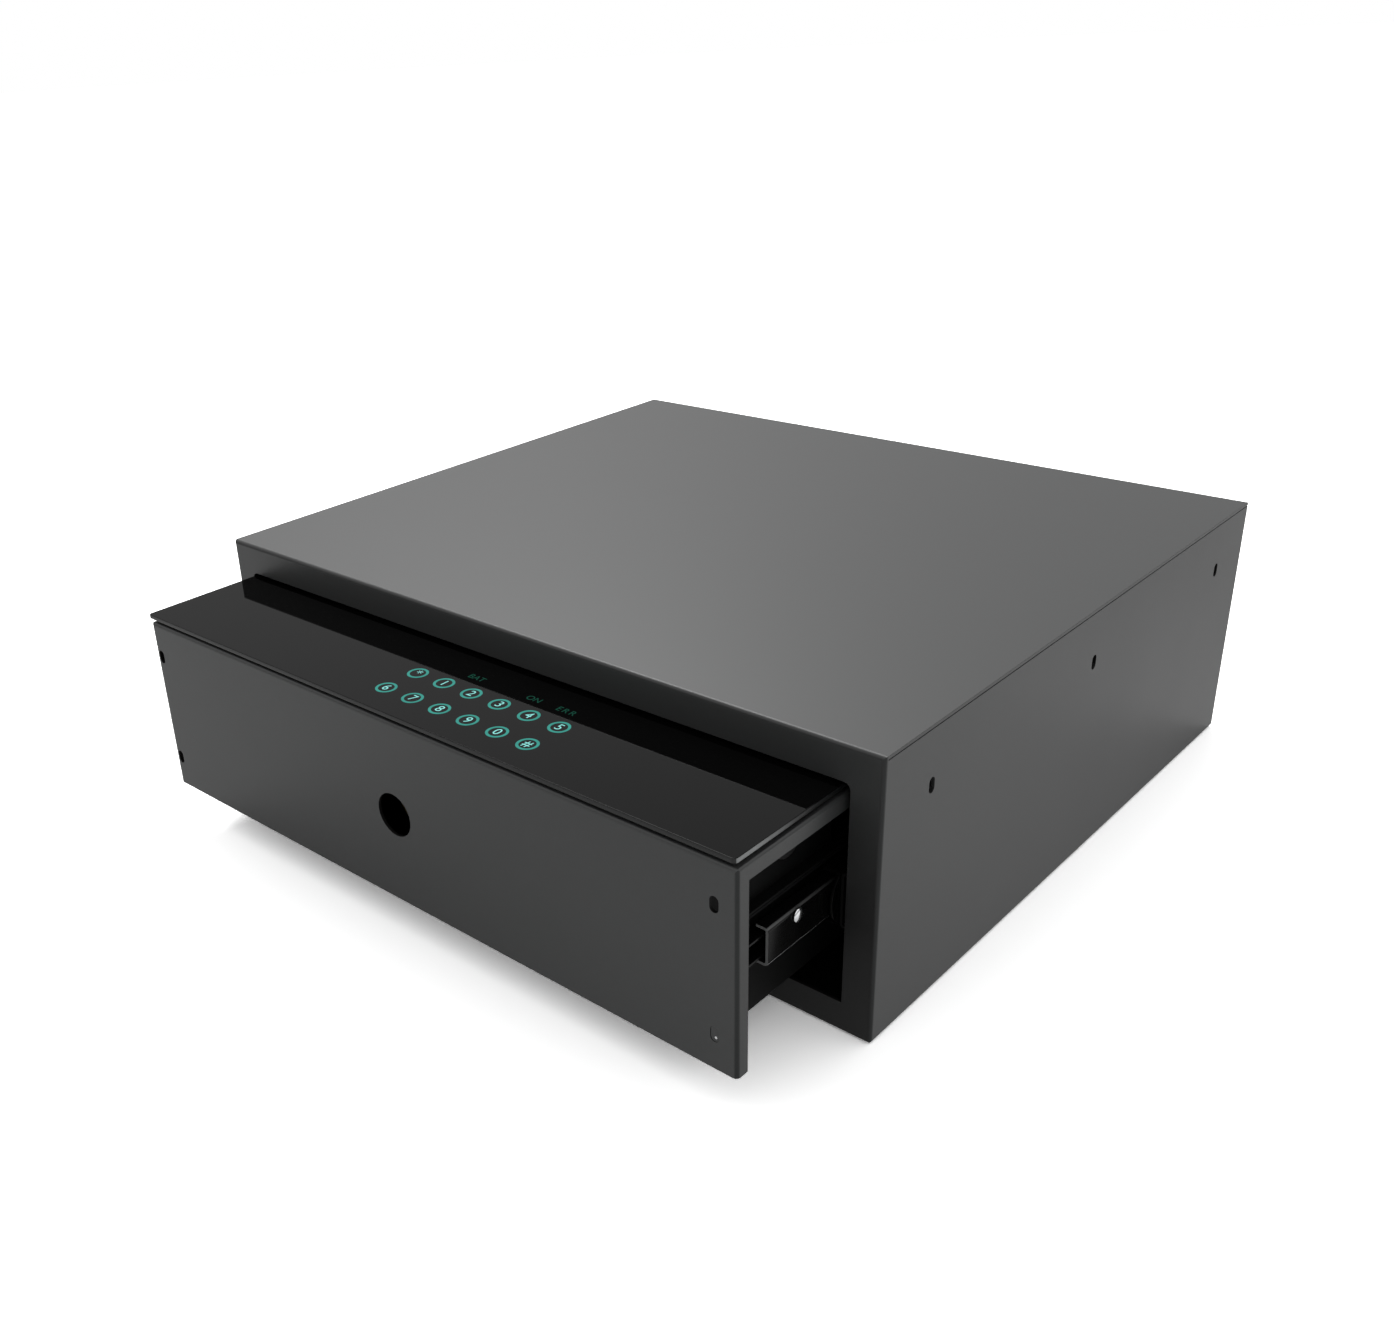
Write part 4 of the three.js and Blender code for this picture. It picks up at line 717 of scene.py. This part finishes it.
# Foam tape and touch board
# Double-sided foam tape holds the glass on the cover, round a window for the touch board. Its cut
# cells leave it dull. The board's green mask shows its tracks a little lighter.
foam, tree, shader, place = start_material("black closed-cell foam")
cells = node(tree, "ShaderNodeTexVoronoi", {"Vector": place, "Scale": across(0.5)})
foam_bump = node(tree, "ShaderNodeBump",
                 {"Height": cells.outputs["Distance"], "Strength": 0.6, "Distance": 0.0001})
fill(tree, shader, {"Base Color": linear("#1e1e1e"), "Roughness": 0.9, "Normal": foam_bump.outputs[0]})
# Its right side gets a pale painted highlight that fades towards the back, like the glass's right edge.
highlighted_tape_edge = painted_highlight_edge("foam tape edge with a painted highlight", "#b0b2b2")
tape = dressed("glass_tape", foam, highlighted_tape_edge, edge=0.1)
for face in tape.data.polygons:
    if face.normal.x > RIGHTWARD:
        face.material_index = 1

solder_mask, tree, shader, place = start_material("green solder mask on glass epoxy")
tracks = node(tree, "ShaderNodeTexBrick",
              {"Vector": place, "Scale": 1.0, "Color1": linear("#0c4527"), "Color2": linear("#0f4f2d"),
               "Mortar": linear("#1b7443"), "Mortar Size": 0.0002, "Brick Width": 0.007,
               "Row Height": 0.0025})
mask_wave = node(tree, "ShaderNodeTexNoise", {"Vector": place, "Scale": across(1.0), "Detail": 2.0})
mask_bump = node(tree, "ShaderNodeBump",
                 {"Height": mask_wave.outputs[0], "Strength": 0.2, "Distance": 0.00003})
fill(tree, shader, {"Base Color": tracks.outputs["Color"], "Roughness": 0.32,
                    "Normal": mask_bump.outputs[0]})
dressed("keypad_board", solder_mask, edge=0.1)

# Tray and its mat
# A folded steel tray with turned-out rims, hung on the slides, and a needled felt mat laid in it,
# whose matted fibres give it a dull, faintly cloudy face.
dressed("tray", inner_coat_and_shade, edge=0.25)

# The fibres are far finer than the render can show, so they are drawn about 0.8 mm across.
felt, tree, shader, place = start_material("needled dark grey felt")
fibre_lie = node(tree, "ShaderNodeTexNoise", {"Vector": place, "Scale": across(8), "Detail": 2.0})
fibre_bend = node(tree, "ShaderNodeVectorMath",
                  {0: fibre_lie.outputs["Color"], 1: (0.004, 0.004, 0.004)}, operation="MULTIPLY")
fibre_place = node(tree, "ShaderNodeVectorMath", {0: place, 1: fibre_bend.outputs[0]}, operation="ADD")
fibres = node(tree, "ShaderNodeTexNoise",
              {"Vector": fibre_place.outputs[0], "Scale": across(0.8), "Detail": 6.0, "Roughness": 0.75})
felt_tone = node(tree, "ShaderNodeMix",
                 {0: fibres.outputs[0], 6: linear("#26272a"), 7: linear("#3b3c3f")}, data_type="RGBA")
felt_bump = node(tree, "ShaderNodeBump",
                 {"Height": fibres.outputs[0], "Strength": 0.8, "Distance": 0.0003})
fill(tree, shader, {"Base Color": felt_tone.outputs[2], "Roughness": 0.95, "Sheen Weight": 0.3,
                    "Sheen Roughness": 0.5, "Normal": felt_bump.outputs[0]})

# The felt swells and sinks by up to MAT_FULLNESS in waves of about MAT_WAVE, both in mm.
MAT_FULLNESS = 0.12
MAT_WAVE = 30
mat_low, mat_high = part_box("tray_mat")
mat_size = mat_high - mat_low
mat = bmesh.new()
bmesh.ops.create_grid(mat, x_segments=96, y_segments=68, size=0.5)
bmesh.ops.scale(mat, vec=(mat_size.x, mat_size.y, 1), verts=mat.verts)
bmesh.ops.translate(mat, vec=((mat_low.x + mat_high.x) / 2, (mat_low.y + mat_high.y) / 2, mat_low.z),
                    verts=mat.verts)
raised = bmesh.ops.extrude_face_region(mat, geom=list(mat.faces))
for vertex in [v for v in raised["geom"] if isinstance(v, bmesh.types.BMVert)]:
    wave = noise.noise(vertex.co / (MAT_WAVE / 1000))
    vertex.co.z = mat_high.z - MAT_FULLNESS / 1000 * (1 + wave)
bmesh.ops.recalc_face_normals(mat, faces=mat.faces)
felt_mat = joined("felt_mat", mat, "drawer", "grey_felt", felt, edge=0.5)
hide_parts("tray_mat")

# Lock chassis and mechanism plate
# A folded wall with side wings closes the lock compartment off from the tray. Inside it a zinc
# plated plate carries the lock on turned pillars.
dressed("lock_chassis", inner_coat_and_shade, edge=0.25)
dressed("mechanism_plate", zinc, edge=0.2)

# Cam, bolts and motor
# A punched cam with two spiral slots draws two nickel plated bolts in from the sides. A small gear
# motor turns it over a natural nylon washer, and black nylon guides carry the bolts.
# Natural nylon lets a little light in, so it looks waxy.
nylon, tree, shader, place = start_material("natural nylon")
nylon_skin = node(tree, "ShaderNodeTexNoise", {"Vector": place, "Scale": across(0.5), "Detail": 1.0})
nylon_bump = node(tree, "ShaderNodeBump",
                  {"Height": nylon_skin.outputs[0], "Strength": 0.2, "Distance": 0.00003})
fill(tree, shader, {"Base Color": linear("#e6e1d3"), "Roughness": 0.42, "Subsurface Weight": 0.1,
                    "Subsurface Radius": (0.002, 0.002, 0.0015), "Normal": nylon_bump.outputs[0]})

# The spark eroded mould leaves black nylon finely pitted and dull. The pits are drawn at 0.35 mm,
# coarser than they are, so that they show.
black_plastic, tree, shader, place = start_material("black moulded nylon, spark textured")
spark = node(tree, "ShaderNodeTexNoise", {"Vector": place, "Scale": across(0.35), "Detail": 1.0})
plastic_bump = node(tree, "ShaderNodeBump",
                    {"Height": spark.outputs[0], "Strength": 0.5, "Distance": 0.00004})
fill(tree, shader, {"Base Color": linear("#171717"), "Roughness": 0.48,
                    "Normal": plastic_bump.outputs[0]})

dressed("lock_cam", zinc, edge=0.2)
dressed("motor_shaft", polished_steel, edge=0.2)
dressed("cam_washer", nylon, edge=0.3)
dressed("lock_motor", polished_steel, edge=0.4)
for side in ("left", "right"):
    dressed("lock_bolt_" + side, polished_steel, edge=0.3)
    dressed("bolt_guide_" + side, black_plastic, edge=0.4)

# Override lock
# A turned brass cylinder behind the key hole, held by a hexagon nut, with a plug that takes the
# key and a zinc plated lever on its tail. The brass has aged to an uneven brown.
brass, tree, shader, place = start_material("turned and aged brass")
age = node(tree, "ShaderNodeTexNoise", {"Vector": place, "Scale": across(5), "Detail": 4.0})
brass_tone = node(tree, "ShaderNodeMix",
                  {0: age.outputs[0], 6: linear("#5d4a22"), 7: linear("#94763a")}, data_type="RGBA")
brass_gloss = node(tree, "ShaderNodeMapRange", {"Value": age.outputs[0], "To Min": 0.22, "To Max": 0.4})
fill(tree, shader, {"Base Color": brass_tone.outputs[2], "Metallic": 1.0,
                    "Roughness": brass_gloss.outputs[0]})
dressed("key_cylinder", brass, edge=0.3)
dressed("key_plug", brass, edge=0.2)
dressed("cylinder_nut", zinc, edge=0.3)
dressed("key_lever", zinc, edge=0.2)

# Control board
# A green circuit board on the plate's pillars, with a controller chip, a capacitor and a plug
# header, held by four screws. A small switch beside the cam tells it where the bolts are.
# The parts on the board are told apart by their places. Sizes in mm.
BOARD_THICKNESS = 1.6
ABOVE_BOARD = 0.1
CAPACITOR_X = 114
HEADER_X = 58
parts_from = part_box("control_board")[0].z + (BOARD_THICKNESS + ABOVE_BOARD) / 1000
board = dressed("control_board", solder_mask, black_plastic, polished_steel, nylon, edge=0.15)
for face in board.data.polygons:
    if face.center.z > parts_from and face.center.x > CAPACITOR_X / 1000:
        face.material_index = 2
    elif face.center.z > parts_from and face.center.x < HEADER_X / 1000:
        face.material_index = 3
    elif face.center.z > parts_from:
        face.material_index = 1
for i in range(1, 5):
    dressed(f"board_screw_{i}", zinc, edge=0.2)
dressed("position_switch", black_plastic, edge=0.3)

# Cells and their holder
# Four wrapped cells in a moulded holder with sprung contact plates, behind a small steel cover
# that is held by one knurled screw. The wrap is glossy, with faint ripples where it shrank.
wrap, tree, shader, place = start_material("plain blue shrink wrap")
wrap_skin = node(tree, "ShaderNodeTexNoise", {"Vector": place, "Scale": across(4), "Detail": 2.0})
wrap_tone = node(tree, "ShaderNodeMix",
                 {0: wrap_skin.outputs[0], 6: linear("#1c4a80"), 7: linear("#235a98")}, data_type="RGBA")
wrap_bump = node(tree, "ShaderNodeBump",
                 {"Height": wrap_skin.outputs[0], "Strength": 0.2, "Distance": 0.0001})
fill(tree, shader, {"Base Color": wrap_tone.outputs[2], "Roughness": 0.28,
                    "Normal": wrap_bump.outputs[0]})
dressed("battery_holder", black_plastic, edge=0.3)
for i in range(1, 5):
    dressed(f"battery_{i}", wrap, edge=0.4)
for end in ("front", "rear"):
    dressed("battery_contact_" + end, polished_steel, edge=0.1)
dressed("battery_cover", inner_coat_and_shade, edge=0.2)
dressed("battery_cover_screw", zinc, edge=0.25)

# Sizes
# The box round every shown piece, with the floor left out.
low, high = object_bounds()
